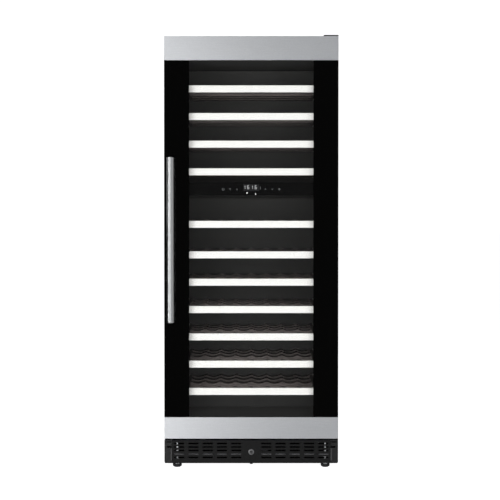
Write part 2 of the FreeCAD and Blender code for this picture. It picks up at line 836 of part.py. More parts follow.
def door_gasket():
    """The magnetic seal round the back of the door."""
    back = CASE_FRONT - SEAL_GAP
    low = DOOR_BOTTOM + SEAL_MARGIN
    high = DOOR_TOP - SEAL_MARGIN
    outside = centred_block(SEAL_OUTER_HALF, DOOR_BACK, back, low, high)
    inside = centred_block(
        SEAL_OUTER_HALF - SEAL_WIDTH, FRONT, BACK, low + SEAL_WIDTH, high - SEAL_WIDTH
    )
    return without(outside, inside)


def handle_bar():
    """The straight round bar, with its end edges broken."""
    bar = rod(HANDLE_RADIUS, (HANDLE_X, HANDLE_Y, HANDLE_BOTTOM), (HANDLE_X, HANDLE_Y, HANDLE_TOP))
    rims = [edge for edge in bar.Edges if edge.BoundBox.ZLength < 1]
    return bar.makeChamfer(1.0, rims)


def handle_posts(bar):
    """The two stand-offs, shaped at the outer end to meet the bar."""
    posts = []
    for z in (HANDLE_BOTTOM + HANDLE_POST_INSET, HANDLE_TOP - HANDLE_POST_INSET):
        post = rod(HANDLE_POST_RADIUS, (HANDLE_X, HANDLE_Y, z), (HANDLE_X, DOOR_FRONT, z))
        posts.append(without(post, bar))
    return posts


# ---------------------------------------------------------------- shelves


def shelf_slat(depth_from, depth_to):
    """A wooden cross slat with a row of bottle scallops in its top."""
    half_height = STRIP_HEIGHT / 2 - TRIM_SHEET
    y0 = SHELF_FRONT + TRIM_SHEET + depth_from
    y1 = SHELF_FRONT + TRIM_SHEET + depth_to
    slat = centred_block(RACK_HALF - RAIL_WIDTH, y0, y1, -half_height, half_height)
    cut_from = max(y0 - 1, SHELF_FRONT + STRIP_DEPTH + 3)
    centre_z = half_height - SCALLOP_DEPTH + SCALLOP_RADIUS
    cutters = []
    for index in range(BOTTLES):
        x = (index - (BOTTLES - 1) / 2) * BOTTLE_PITCH
        cutters.append(rod(SCALLOP_RADIUS, (x, cut_from, centre_z), (x, y1 + 1, centre_z)))
    return without(slat, *cutters)


def shelf_rail():
    """The right-hand wooden side rail, which runs in the steel channel."""
    bottom = -STRIP_HEIGHT / 2 + TRIM_SHEET
    y0 = SHELF_FRONT + TRIM_SHEET
    return block(
        RACK_HALF - RAIL_WIDTH, RACK_HALF, y0, y0 + RACK_DEPTH, bottom, bottom + RAIL_HEIGHT
    )


def shelf_rack():
    """The six wooden pieces of one shelf, about its own middle height."""
    rail = shelf_rail()
    return [rail, mirrored(rail)] + [shelf_slat(*span) for span in SLATS]


def shelf_strip():
    """The steel channel that caps the front of one shelf."""
    outside = centred_block(
        STRIP_HALF, SHELF_FRONT, SHELF_FRONT + STRIP_DEPTH, -STRIP_HEIGHT / 2, STRIP_HEIGHT / 2
    )
    inside = centred_block(
        STRIP_HALF + 1,
        SHELF_FRONT + TRIM_SHEET,
        BACK,
        -STRIP_HEIGHT / 2 + TRIM_SHEET,
        STRIP_HEIGHT / 2 - TRIM_SHEET,
    )
    return without(outside, inside)


# ---------------------------------------------------------------- cooling


def fan_frame(x, y, z):
    """A square fan housing whose motor hub hangs on four spokes, with the shaft in front."""
    half = FAN_SIZE / 2
    back = y + FAN_DEPTH
    frame = without(
        block(x - half, x + half, y, back, z - half, z + half),
        rod(FAN_HOLE, (x, y - 1, z), (x, back + 1, z)),
    )
    reach = FAN_HOLE + 2
    thin = FAN_SPOKE / 2
    spokes = [
        block(x - reach, x + reach, back - FAN_SPOKE, back, z - thin, z + thin),
        block(x - thin, x + thin, back - FAN_SPOKE, back, z - reach, z + reach),
    ]
    motor_front = y + FAN_MOTOR_FRONT
    hub = rod(FAN_HUB + 1, (x, motor_front, z), (x, back, z))
    shaft = rod(FAN_SHAFT, (x, y + FAN_SHAFT_FRONT, z), (x, motor_front, z))
    return joined(frame, *spokes, hub, shaft)


def fan_rotor(x, y, z):
    """A hub with pitched blades, running on the motor's shaft."""
    y0 = y + FAN_ROTOR_FRONT
    y1 = y0 + FAN_ROTOR_DEPTH
    middle = (y0 + y1) / 2
    thin = FAN_BLADE / 2
    wide = FAN_BLADE_HALF_WIDTH
    hub = rod(FAN_HUB, (x, y0, z), (x, y1, z))
    blades = []
    for index in range(FAN_BLADES):
        blade = block(
            x + FAN_HUB - 3, x + FAN_SWEEP + 6, middle - thin, middle + thin, z - wide, z + wide
        )
        blade.rotate(vector(x, middle, z), vector(1, 0, 0), FAN_PITCH_DEGREES)
        blade.rotate(vector(x, middle, z), vector(0, 1, 0), index * 360 / FAN_BLADES)
        blades.append(blade)
    envelope = rod(FAN_SWEEP, (x, y0, z), (x, y1, z))
    bore = rod(FAN_SHAFT + RUNNING_PLAY, (x, y0 - 1, z), (x, y1 + 1, z))
    return without(joined(hub, *blades).common(envelope), bore)


def compressor():
    """The welded compressor pot on its foot plate, and four rubber mounts under the plate."""
    x, y = COMPRESSOR
    radius = COMPRESSOR_RADIUS
    plate_bottom = PAN_TOP + MOUNT_HEIGHT
    bottom = plate_bottom + COMPRESSOR_PLATE
    outline = [
        (0, bottom),
        (COMPRESSOR_CROWN, bottom),
        (radius, bottom + COMPRESSOR_SHOULDER),
        (radius, COMPRESSOR_TOP - COMPRESSOR_SHOULDER),
        (COMPRESSOR_CROWN, COMPRESSOR_TOP),
        (0, COMPRESSOR_TOP),
    ]
    corners = [vector(x + r, y, z) for r, z in outline]
    face = Part.Face(Part.makePolygon(corners + corners[:1]))
    pot = face.revolve(vector(x, y, 0), vector(0, 0, 1), 360)
    half_x, half_y = COMPRESSOR_PLATE_HALF
    plate = block(x - half_x, x + half_x, y - half_y, y + half_y, plate_bottom, bottom)
    span_x, span_y = MOUNT_HALF_SPAN
    mounts = [
        rod(MOUNT_RADIUS, (x + dx, y + dy, PAN_TOP), (x + dx, y + dy, plate_bottom))
        for dx in (-span_x, span_x)
        for dy in (-span_y, span_y)
    ]
    return [joined(pot, plate)] + mounts


def drip_tray():
    """The dish on the compressor that dries off the defrost water."""
    x, y = COMPRESSOR
    top = COMPRESSOR_TOP + TRAY_HEIGHT
    floor = COMPRESSOR_TOP + TRAY_WALL
    half_x, half_y = TRAY_HALF
    in_x, in_y = half_x - TRAY_WALL, half_y - TRAY_WALL
    outside = block(x - half_x, x + half_x, y - half_y, y + half_y, COMPRESSOR_TOP, top)
    inside = block(x - in_x, x + in_x, y - in_y, y + in_y, floor, HEIGHT)
    return without(outside, inside)


def refrigerant_pipes():
    """The two suction pipes, and the discharge pipe from the compressor to the condenser."""
    x, y = COMPRESSOR
    discharge = [
        (x + COMPRESSOR_RADIUS + PIPE_END_GAP, y, DISCHARGE_LEVEL),
        (0, y, DISCHARGE_LEVEL),
        (0, CONDENSER_BACK + PIPE_END_GAP, DISCHARGE_LEVEL),
    ]
    return [pipe(points, PIPE_RADIUS) for points in (*riser_points(), discharge)]


def mains_inlet():
    """A recessed three-pin appliance inlet in the back."""
    body = block(
        INLET_X - INLET_HALF_WIDTH,
        INLET_X + INLET_HALF_WIDTH,
        INLET_FRONT,
        BACK,
        INLET_Z - INLET_HALF_HEIGHT,
        INLET_Z + INLET_HALF_HEIGHT,
    )
    floor = INLET_FRONT + INLET_FLOOR
    half_x, half_z = INLET_RECESS_HALF
    recess = block(
        INLET_X - half_x, INLET_X + half_x, floor, BACK + 1, INLET_Z - half_z, INLET_Z + half_z
    )
    pins = []
    for dx, dz in INLET_PINS:
        x, z = INLET_X + dx, INLET_Z + dz
        pins.append(block(x - 1, x + 1, INLET_FRONT, floor + INLET_PIN_LENGTH, z - 2, z + 2))
    return joined(without(body, recess), *pins)


def cabinet_screws():
    """Pan heads round the back panel, flush heads in the upper hinge plate."""
    screws = []
    for x in REAR_SCREW_XS:
        for z in REAR_SCREW_ZS:
            screws.append(rod(REAR_SCREW_RADIUS, (x, CASE_BACK, z), (x, BACK, z)))
    for x, y in HINGE_SCREWS:
        screws.append(rod(HINGE_SCREW_RADIUS - 0.1, (x, y, CASE_TOP), (x, y, HEIGHT - 0.2)))
    return screws


# ---------------------------------------------------------------- build


def build_cabinet():
    save("outer_case", outer_case())
    save("rear_panel", rear_panel())
    corner = plinth_corner()
    save("base_pan", base_pan(), corner, mirrored(corner))
    save("inner_liner", inner_liner())
    save("insulation", insulation(), divider_foam())
    save("zone_divider", zone_divider())
    save("control_panel", control_panel())
    save(
        "duct_covers",
        duct_cover(DIVIDER_TOP + 8, LINER_CEILING - 5, UPPER_FAN[2]),
        duct_cover(HUMP_TOP + 5, DIVIDER_BOTTOM - 8, LOWER_FAN[2]),
    )
    lights = [light_bar(DIVIDER_TOP, LINER_CEILING), light_bar(LINER_FLOOR, DIVIDER_BOTTOM)]
    save("light_bars", *lights, *[mirrored(light) for light in lights])
    right = [runner(z) for z in SHELF_HEIGHTS]
    save("shelf_runners", *right, *[mirrored(r) for r in right])
    save("hinge_brackets", *hinge_brackets())
    save("cabinet_screws", *cabinet_screws())
    save("mains_inlet", mains_inlet())


def build_plinth():
    save("kick_plate", kick_plate())
    save("lock_body", lock_body())
    save("lock_plug", lock_plug())
    for node, place in FEET.items():
        save(node, foot(*place))


def build_cooling():
    save(
        "evaporators",
        *[
            finned_coil(COIL_HALF, COIL_FRONT, COIL_BACK, *levels, rows=4)
            for levels in (UPPER_COIL, LOWER_COIL)
        ],
    )
    save(
        "condenser",
        finned_coil(
            CONDENSER_HALF, CONDENSER_FRONT, CONDENSER_BACK, PAN_TOP, CONDENSER_TOP, rows=3
        ),
    )
    save("compressor", *compressor())
    save("drip_tray", drip_tray())
    save("refrigerant_pipes", *refrigerant_pipes())
    fans = (UPPER_FAN, LOWER_FAN, CONDENSER_FAN)
    save("fan_motors", *[fan_frame(*place) for place in fans])
    for node, place in zip(("fan_rotor_upper", "fan_rotor_lower", "condenser_fan_rotor"), fans):
        save(node, fan_rotor(*place))


def build_door():
    save("door_frame", door_frame())
    save("door_trims", *door_trims())
    save("glass_outer", glass_outer())
    save("glass_inner", glass_inner())
    save("glass_spacer", glass_spacer())
    save("door_gasket", door_gasket())
    save("hinge_bushes", *hinge_bushes())
    bar = handle_bar()
    save("handle_bar", bar)
    save("handle_posts", *handle_posts(bar))


def build_shelves():
    rack = shelf_rack()
    strip = shelf_strip()
    for number, z in enumerate(SHELF_HEIGHTS, start=1):
        save(f"shelf_rack_{number}", *[moved(piece, 0, 0, z) for piece in rack])
        save(f"shelf_trim_{number}", moved(strip, 0, 0, z))


build_cabinet()
build_plinth()
build_cooling()
build_door()
build_shelves()
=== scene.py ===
import json
import math

import bmesh
import bpy
from mathutils import Matrix, Vector


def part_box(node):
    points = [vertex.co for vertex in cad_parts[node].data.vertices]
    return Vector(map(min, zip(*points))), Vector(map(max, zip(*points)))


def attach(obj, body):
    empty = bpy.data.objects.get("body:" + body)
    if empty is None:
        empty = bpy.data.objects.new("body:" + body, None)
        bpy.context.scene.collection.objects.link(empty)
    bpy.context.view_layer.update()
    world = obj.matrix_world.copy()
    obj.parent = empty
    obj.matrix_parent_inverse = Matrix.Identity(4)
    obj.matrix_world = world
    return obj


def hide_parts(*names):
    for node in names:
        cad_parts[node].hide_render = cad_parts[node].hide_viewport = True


# The wine cooler's looks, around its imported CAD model. Metres; -Y is the front, +Z is up.

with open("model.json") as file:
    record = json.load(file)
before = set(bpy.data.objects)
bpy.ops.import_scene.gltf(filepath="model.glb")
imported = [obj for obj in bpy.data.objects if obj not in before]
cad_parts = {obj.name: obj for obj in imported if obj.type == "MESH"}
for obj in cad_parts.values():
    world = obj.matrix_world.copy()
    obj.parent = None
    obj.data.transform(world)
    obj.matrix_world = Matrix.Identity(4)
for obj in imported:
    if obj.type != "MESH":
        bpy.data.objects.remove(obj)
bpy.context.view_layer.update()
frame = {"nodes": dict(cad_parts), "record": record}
nodes = frame["nodes"]

MM = 0.001

# ---------------------------------------------------------------- material building blocks


def new_material(name, colour, roughness, metallic=0.0, **sockets):
    """A Principled material. Every plain value is set on the shader's own socket."""
    material = bpy.data.materials.new(name)
    material.use_nodes = True
    tree = material.node_tree
    shader = tree.nodes["Principled BSDF"]
    shader.inputs["Base Color"].default_value = (*colour, 1)
    shader.inputs["Roughness"].default_value = roughness
    shader.inputs["Metallic"].default_value = metallic
    for socket, value in sockets.items():
        shader.inputs[socket.replace("_", " ")].default_value = value
    return material, tree, shader


def placed(tree, stretch=(1, 1, 1)):
    """Coordinates in metres on the piece itself, stretched along its axes."""
    where = tree.nodes.new("ShaderNodeTexCoord")
    mapping = tree.nodes.new("ShaderNodeMapping")
    mapping.inputs["Scale"].default_value = stretch
    tree.links.new(where.outputs["Object"], mapping.inputs["Vector"])
    return mapping.outputs["Vector"]


def noise(tree, vector, scale, detail=4.0, roughness=0.55, distortion=0.0):
    """Soft noise between 0 and 1, about its scale in features per metre."""
    node = tree.nodes.new("ShaderNodeTexNoise")
    node.inputs["Scale"].default_value = scale
    node.inputs["Detail"].default_value = detail
    node.inputs["Roughness"].default_value = roughness
    node.inputs["Distortion"].default_value = distortion
    tree.links.new(vector, node.inputs["Vector"])
    return node.outputs["Fac"]


def ranged(tree, value, low, high, start=0.3, end=0.7):
    """value carried from start..end to low..high, and held outside that."""
    node = tree.nodes.new("ShaderNodeMapRange")
    node.inputs["From Min"].default_value = start
    node.inputs["From Max"].default_value = end
    node.inputs["To Min"].default_value = low
    node.inputs["To Max"].default_value = high
    tree.links.new(value, node.inputs["Value"])
    return node.outputs["Result"]


def blended(tree, factor, first, second):
    """A colour between two, each a plain colour or another node's output."""
    node = tree.nodes.new("ShaderNodeMix")
    node.data_type = "RGBA"
    tree.links.new(factor, node.inputs["Factor"])
    for index, colour in ((6, first), (7, second)):
        if isinstance(colour, tuple):
            node.inputs[index].default_value = (*colour, 1)
        else:
            tree.links.new(colour, node.inputs[index])
    return node.outputs[2]


def bumped(tree, shader, height, strength, depth, under=None):
    """Relief on a shader, depth in metres, on top of another relief where one is given."""
    node = tree.nodes.new("ShaderNodeBump")
    node.inputs["Strength"].default_value = strength
    node.inputs["Distance"].default_value = depth
    tree.links.new(height, node.inputs["Height"])
    if under is not None:
        tree.links.new(under, node.inputs["Normal"])
    tree.links.new(node.outputs["Normal"], shader.inputs["Normal"])
    return node.outputs["Normal"]


def scaled(colour, factor):
    """A colour made lighter or darker."""
    return tuple(min(1.0, channel * factor) for channel in colour)


def surface(
    name,
    colour,
    roughness,
    metallic=0.0,
    stretch=(1, 1, 1),
    grain=600.0,
    shade=0.12,
    rough_spread=0.08,
    bump=0.15,
    depth=0.00005,
    patches=6.0,
    patch_shade=0.06,
    **sockets,
):
    """A material with a fine grain, broad faint patches, and both in its roughness and relief."""
    material, tree, shader = new_material(name, colour, roughness, metallic, **sockets)
    fine = noise(tree, placed(tree, stretch), grain)
    broad = noise(tree, placed(tree), patches, detail=3.0)
    darker = scaled(colour, 1 - shade)
    lighter = scaled(colour, 1 + shade)
    grained = blended(tree, ranged(tree, fine, 0, 1), darker, lighter)
    dull = scaled(colour, 1 - patch_shade)
    tinted = blended(tree, ranged(tree, broad, 0, 0.5), grained, dull)
    tree.links.new(tinted, shader.inputs["Base Color"])
    rough = ranged(tree, fine, roughness - rough_spread, roughness + rough_spread)
    tree.links.new(rough, shader.inputs["Roughness"])
    bumped(tree, shader, fine, bump, depth)
    return material


# ---------------------------------------------------------------- materials


def brushed(name, colour, roughness, along, metallic=1.0, shade=0.05, bump=0.2, **sockets):
    """Steel brushed along one axis: hairlines, a finer set in the gloss, and a fine mottle."""
    material, tree, shader = new_material(name, colour, roughness, metallic, **sockets)
    stretch = {"X": (25, 900, 900), "Y": (900, 25, 900), "Z": (900, 900, 25)}[along]
    fine_stretch = {"X": (60, 2600, 2600), "Y": (2600, 60, 2600), "Z": (2600, 2600, 60)}[along]
    lines = noise(tree, placed(tree, stretch), 1.0, detail=3.0)
    hairs = noise(tree, placed(tree, fine_stretch), 1.0, detail=2.0)
    mottle = noise(tree, placed(tree), 320.0, detail=4.0)
    base = blended(
        tree, ranged(tree, lines, 0, 1), scaled(colour, 1 - shade), scaled(colour, 1 + shade)
    )
    base = blended(tree, ranged(tree, mottle, 0, 0.6), base, scaled(colour, 1 - 2.2 * shade))
    tree.links.new(base, shader.inputs["Base Color"])
    rough = ranged(tree, hairs, roughness - 0.05, roughness + 0.07)
    tree.links.new(rough, shader.inputs["Roughness"])
    under = bumped(tree, shader, lines, bump, 0.00001)
    bumped(tree, shader, hairs, bump * 0.6, 0.000005, under)
    return material


def stained_wood(name, along):
    """Dark stained beech: long grain, short pores, and a slow drift from plank to plank."""
    colour = (0.114, 0.098, 0.097)
    drifted = (0.100, 0.090, 0.089)
    material, tree, shader = new_material(name, colour, 0.5, Specular_IOR_Level=0.35)
    stretch = {"X": (3, 60, 60), "Y": (60, 3, 60)}[along]
    pore_stretch = {"X": (60, 900, 900), "Y": (900, 60, 900)}[along]
    drift = noise(tree, placed(tree, (1.2, 1.2, 9)), 1.0, detail=2.0)
    grain = noise(tree, placed(tree, stretch), 1.0, detail=6.0, roughness=0.6, distortion=0.8)
    pores = noise(tree, placed(tree, pore_stretch), 1.0, detail=3.0)
    streaks = ranged(tree, grain, 0, 1, 0.35, 0.65)
    base = blended(tree, streaks, scaled(colour, 0.6), scaled(colour, 1.35))
    base = blended(tree, ranged(tree, pores, 0.55, 0, 0.3, 0.5), base, scaled(colour, 0.35))
    base = blended(tree, ranged(tree, drift, 0, 0.5), base, drifted)
    tree.links.new(base, shader.inputs["Base Color"])
    tree.links.new(ranged(tree, grain, 0.42, 0.6), shader.inputs["Roughness"])
    under = bumped(tree, shader, grain, 0.25, 0.0002)
    bumped(tree, shader, pores, 0.3, 0.0001, under)
    return material


def window_glass(name, tint):
    """A thin clear pane: it mirrors a little, more at a slant, and passes the rest straight on."""
    material = bpy.data.materials.new(name)
    material.use_nodes = True
    tree = material.node_tree
    tree.nodes.remove(tree.nodes["Principled BSDF"])
    through = tree.nodes.new("ShaderNodeBsdfTransparent")
    through.inputs["Color"].default_value = (*tint, 1)
    gloss = tree.nodes.new("ShaderNodeBsdfGlossy")
    gloss.inputs["Roughness"].default_value = 0.02
    smears = noise(tree, placed(tree), 9.0, detail=3.0)
    tree.links.new(ranged(tree, smears, 0.015, 0.035), gloss.inputs["Roughness"])
    fresnel = tree.nodes.new("ShaderNodeFresnel")
    fresnel.inputs["IOR"].default_value = 1.42
    mix = tree.nodes.new("ShaderNodeMixShader")
    tree.links.new(fresnel.outputs["Fac"], mix.inputs["Fac"])
    tree.links.new(through.outputs["BSDF"], mix.inputs[1])
    tree.links.new(gloss.outputs["BSDF"], mix.inputs[2])
    tree.links.new(mix.outputs["Shader"], tree.nodes["Material Output"].inputs["Surface"])
    return material


def galvanised(name):
    """Zinc-coated sheet with its frosty spangle."""
    colour = (0.36, 0.37, 0.38)
    material, tree, shader = new_material(name, colour, 0.45, 0.9)
    cells = tree.nodes.new("ShaderNodeTexVoronoi")
    cells.inputs["Scale"].default_value = 90.0
    tree.links.new(placed(tree), cells.inputs["Vector"])
    tone = tree.nodes.new("ShaderNodeSeparateColor")
    tree.links.new(cells.outputs["Color"], tone.inputs["Color"])
    spangle = ranged(tree, tone.outputs["Red"], 0, 1, 0, 1)
    base = blended(tree, spangle, scaled(colour, 0.82), scaled(colour, 1.2))
    tree.links.new(base, shader.inputs["Base Color"])
    rough = ranged(tree, tone.outputs["Green"], 0.36, 0.55, 0, 1)
    tree.links.new(rough, shader.inputs["Roughness"])
    bumped(tree, shader, noise(tree, placed(tree), 250.0), 0.1, 0.00005)
    return material


def glowing(name, colour, strength):
    """A lit segment behind the panel, slightly uneven."""
    material, tree, shader = new_material(name, (0.02, 0.02, 0.02), 0.4)
    cloud = noise(tree, placed(tree), 900.0, detail=2.0)
    glow = blended(tree, ranged(tree, cloud, 0, 1), scaled(colour, 0.85), colour)
    tree.links.new(glow, shader.inputs["Emission Color"])
    shader.inputs["Emission Strength"].default_value = strength
    return material


STEEL_X = brushed("door_steel", (0.80, 0.815, 0.84), 0.4, "X", shade=0.04)
STEEL_Z = brushed("handle_steel", (0.52, 0.525, 0.53), 0.2, "Z", shade=0.03, bump=0.1)
STRIP_STEEL = brushed(
    "strip_steel", (0.97, 0.97, 0.975), 0.45, "X", metallic=0.05, shade=0.01, bump=0.08
)
WOOD_X = stained_wood("stained_wood_across", "X")
WOOD_Y = stained_wood("stained_wood_deep", "Y")
GLASS = window_glass("door_glass", (0.985, 0.985, 0.98))
PRINT = surface(
    "black_print", (0.0005, 0.0005, 0.0005), 0.5, grain=1500, bump=0.02, Specular_IOR_Level=0.0
)
LINER = surface(
    "liner_plastic", (0.052, 0.052, 0.053), 0.6, grain=1400, bump=0.25, Specular_IOR_Level=0.3
)
DUCT = surface(
    "duct_plastic", (0.052, 0.052, 0.053), 0.65, grain=1100, bump=0.3, Specular_IOR_Level=0.3
)
# painted light: the liner plastic made lighter, for the ceiling and floor faces that stay in shade
# under the lamps
LINER_PAINTED_LIGHT = surface(
    "liner_painted_light", (0.11, 0.11, 0.112), 0.6, grain=1400, bump=0.25, Specular_IOR_Level=0.3
)
PANEL = surface(
    "panel_gloss",
    (0.0018, 0.0018, 0.002),
    0.12,
    grain=500,
    rough_spread=0.03,
    bump=0.02,
    Specular_IOR_Level=0.1,
)
PLINTH = surface(
    "plinth_plastic",
    (0.0030, 0.0030, 0.0031),
    0.55,
    grain=1600,
    bump=0.35,
    shade=0.25,
    Specular_IOR_Level=0.25,
)
CASE_PAINT = surface(
    "case_paint",
    (0.006, 0.006, 0.0062),
    0.45,
    grain=900,
    bump=0.3,
    depth=0.00008,
    Specular_IOR_Level=0.35,
)
HINGE_PAINT = surface(
    "hinge_paint", (0.002, 0.002, 0.002), 0.5, grain=900, bump=0.3, Specular_IOR_Level=0.1
)
STUD_ZINC = surface("stud_zinc", (0.92, 0.93, 0.95), 0.35, 0.1, grain=350, bump=0.15, shade=0.05)
RIB_PLASTIC = surface("rib_plastic", (0.035, 0.035, 0.036), 0.5, grain=1300, bump=0.25)
FRAME_PLASTIC = surface(
    "frame_plastic", (0.012, 0.012, 0.013), 0.45, grain=1300, bump=0.25, shade=0.15
)
RUBBER = surface("seal_rubber", (0.02, 0.02, 0.021), 0.7, grain=900, bump=0.3, shade=0.2)
ZINC = surface("zinc_plate", (0.66, 0.67, 0.68), 0.4, 0.25, grain=350, bump=0.15, shade=0.08)
CHROME = surface(
    "lock_chrome", (0.17, 0.17, 0.175), 0.32, 0.8, grain=700, rough_spread=0.05, bump=0.06
)
LOCK_FACE = surface("lock_face", (0.05, 0.05, 0.052), 0.35, 0.6, grain=900, bump=0.1)
LOCK_SHUTTER = surface("lock_shutter", (0.006, 0.006, 0.006), 0.5, grain=900, bump=0.1)
SILL_STEEL = surface("sill_steel", (0.20, 0.20, 0.21), 0.5, 0.2, stretch=(0.1, 1, 1), grain=700)
ALUMINIUM = surface(
    "fin_aluminium", (0.6, 0.61, 0.62), 0.4, 1.0, stretch=(1, 1, 0.05), grain=900, bump=0.2
)
COPPER = surface("pipe_copper", (0.62, 0.31, 0.19), 0.34, 1.0, grain=300, shade=0.2, patches=30)
GREY_PLASTIC = surface("tray_plastic", (0.28, 0.29, 0.3), 0.55, grain=900, bump=0.2)
NYLON = surface("bush_nylon", (0.75, 0.75, 0.72), 0.45, grain=800, bump=0.1)
FOAM = surface("foam", (0.78, 0.68, 0.42), 0.9, grain=220, bump=0.8, depth=0.0008, shade=0.25)
DIFFUSER = surface("light_diffuser", (0.7, 0.72, 0.74), 0.4, grain=700, bump=0.1, shade=0.04)
GALVANISED = galvanised("galvanised_sheet")
FOOT_PLASTIC = surface(
    "foot_plastic", (0.014, 0.014, 0.015), 0.6, grain=900, bump=0.2, Specular_IOR_Level=0.15
)
WINDOW_TINT = surface(
    "display_window", (0.016, 0.016, 0.018), 0.2, grain=500, rough_spread=0.03, bump=0.02
)
DIGITS = glowing("display_digits", (0.95, 0.97, 1.0), 0.75)
LAMPS = glowing("panel_lamps", (0.97, 0.98, 1.0), 1.3)
ICONS = glowing("panel_icons", (0.9, 0.95, 1.0), 0.2)

# ---------------------------------------------------------------- mesh building blocks


def smoothed(piece, sharp=50):
    """Smooth shading that keeps flat faces flat and real corners sharp."""
    mesh = piece.data
    mesh.shade_smooth()
    mesh.set_sharp_from_angle(angle=math.radians(sharp))
    even = piece.modifiers.new("even_normals", "WEIGHTED_NORMAL")
    even.keep_sharp = True
    even.weight = 80


def piece_from(bm, name, body, *materials, sharp=50):
    """Turns a bmesh into a piece that rides on a body."""
    mesh = bpy.data.meshes.new(name)
    bmesh.ops.recalc_face_normals(bm, faces=bm.faces)
    bm.to_mesh(mesh)
    bm.free()
    for material in materials:
        mesh.materials.append(material)
    piece = bpy.data.objects.new(name, mesh)
    bpy.context.scene.collection.objects.link(piece)
    smoothed(piece, sharp)
    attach(piece, body)
    return piece


def body_of(node):
    """The body that a CAD node belongs to."""
    groups = frame["record"]["behaviour"]["bodies"]
    return next(body for body, members in groups.items() if node in members)


def broken_edges(bm, width, segments, corner=30):
    """Rounds every edge sharper than corner degrees."""
    limit = math.radians(corner)
    edges = [e for e in bm.edges if e.is_manifold and e.calc_face_angle(0) > limit]
    bmesh.ops.bevel(
        bm,
        geom=edges,
        offset=width,
        segments=segments,
        affect="EDGES",
        profile=0.5,
        clamp_overlap=True,
    )


WELD_DISTANCE = 0.002 * MM
FLAT_ANGLE = math.radians(0.5)


def bmesh_of(node):
    """A CAD node's shape as clean flat faces."""
    bm = bmesh.new()
    bm.from_mesh(nodes[node].data)
    bmesh.ops.remove_doubles(bm, verts=bm.verts, dist=WELD_DISTANCE)
    bmesh.ops.dissolve_limit(bm, angle_limit=FLAT_ANGLE, verts=bm.verts, edges=bm.edges)
    return bm


def softened(node, width, material, segments=2, name=None):
    """The node's own shape with its edges broken, standing for it."""
    bm = bmesh_of(node)
    broken_edges(bm, width, segments)
    piece = piece_from(bm, name or f"{node}_finished", body_of(node), material)
    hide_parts(node)
    return piece


def painted(material, *names):
    """Carried-over CAD nodes get a better material."""
    for name in names:
        mesh = nodes[name].data
        mesh.materials.clear()
        mesh.materials.append(material)


def add_block(bm, low, high, edge=0.0):
    """A box between two corners, with its edges broken if edge is set."""
    size = Vector(high) - Vector(low)
    middle = (Vector(high) + Vector(low)) / 2
    part = bmesh.new()
    bmesh.ops.create_cube(part, size=1.0)
    bmesh.ops.scale(part, vec=size, verts=part.verts)
    bmesh.ops.translate(part, vec=middle, verts=part.verts)
    if edge:
        broken_edges(part, edge, 2)
    merge(bm, part)


def merge(bm, part):
    """Adds one bmesh to another."""
    mesh = bpy.data.meshes.new("part")
    part.to_mesh(mesh)
    part.free()
    bm.from_mesh(mesh)
    bpy.data.meshes.remove(mesh)


def add_turned(bm, outline, centre, axis, steps=32):
    """Turns an outline of (radius, height) points about an axis through centre."""
    part = bmesh.new()
    turn = Vector((0, 0, 1)).rotation_difference(Vector(axis)).to_matrix()
    rings = []
    for radius, height in outline:
        if radius < 1e-9:
            rings.append([part.verts.new(Vector(centre) + turn @ Vector((0, 0, height)))])
            continue
        ring = []
        for step in range(steps):
            angle = 2 * math.pi * step / steps
            spot = Vector((radius * math.cos(angle), radius * math.sin(angle), height))
            ring.append(part.verts.new(Vector(centre) + turn @ spot))
        rings.append(ring)
    for lower, upper in zip(rings, rings[1:]):
        for step in range(steps):
            after = (step + 1) % steps
            corners = []
            for ring, index in ((lower, step), (lower, after), (upper, after), (upper, step)):
                vert = ring[index % len(ring)]
                if vert not in corners:
                    corners.append(vert)
            if len(corners) > 2:
                part.faces.new(corners)
    bmesh.ops.recalc_face_normals(part, faces=part.faces)
    merge(bm, part)


def add_prism(bm, outline, y0, y1):
    """A flat outline of (x, z) points, carried from y0 to y1."""
    part = bmesh.new()
    front = [part.verts.new((x, y0, z)) for x, z in outline]
    back = [part.verts.new((x, y1, z)) for x, z in outline]
    part.faces.new(front)
    part.faces.new(back[::-1])
    for index in range(len(outline)):
        after = (index + 1) % len(outline)
        part.faces.new((front[index], front[after], back[after], back[index]))
    bmesh.ops.recalc_face_normals(part, faces=part.faces)
    merge(bm, part)


def add_arc(bm, x, z, radius, width, start, end, y0, y1, steps=20):
    """A flat ring segment about (x, z) between two angles in degrees."""
    angles = [math.radians(start + (end - start) * i / steps) for i in range(steps + 1)]
    outer = radius + width / 2
    inner = radius - width / 2
    whole = abs(end - start) >= 360
    if whole:
        angles = angles[:-1]
    part = bmesh.new()
    rows = []
    for angle in angles:
        row = []
        for r, y in ((inner, y0), (outer, y0), (outer, y1), (inner, y1)):
            row.append(part.verts.new((x + r * math.cos(angle), y, z + r * math.sin(angle))))
        rows.append(row)
    pairs = list(zip(rows, rows[1:]))
    if whole:
        pairs.append((rows[-1], rows[0]))
    else:
        part.faces.new(rows[0])
        part.faces.new(rows[-1][::-1])
    for first, second in pairs:
        for index in range(4):
            after = (index + 1) % 4
            part.faces.new((first[index], first[after], second[after], second[index]))
    bmesh.ops.recalc_face_normals(part, faces=part.faces)
    merge(bm, part)


def add_mitred_frame(bm, profile, half, low, high):
    """A closed profile of (outward, y) points, carried round a rectangle in the XZ plane."""
    part = bmesh.new()
    rings = []
    for side_x, side_z in ((-1, -1), (1, -1), (1, 1), (-1, 1)):
        ring = []
        for outward, y in profile:
            x = side_x * (half + outward)
            z = (low - outward) if side_z < 0 else (high + outward)
            ring.append(part.verts.new((x, y, z)))
        rings.append(ring)
    for index, ring in enumerate(rings):
        following = rings[(index + 1) % 4]
        for point in range(len(profile)):
            after = (point + 1) % len(profile)
            part.faces.new((ring[point], ring[after], following[after], following[point]))
    bmesh.ops.recalc_face_normals(part, faces=part.faces)
    merge(bm, part)


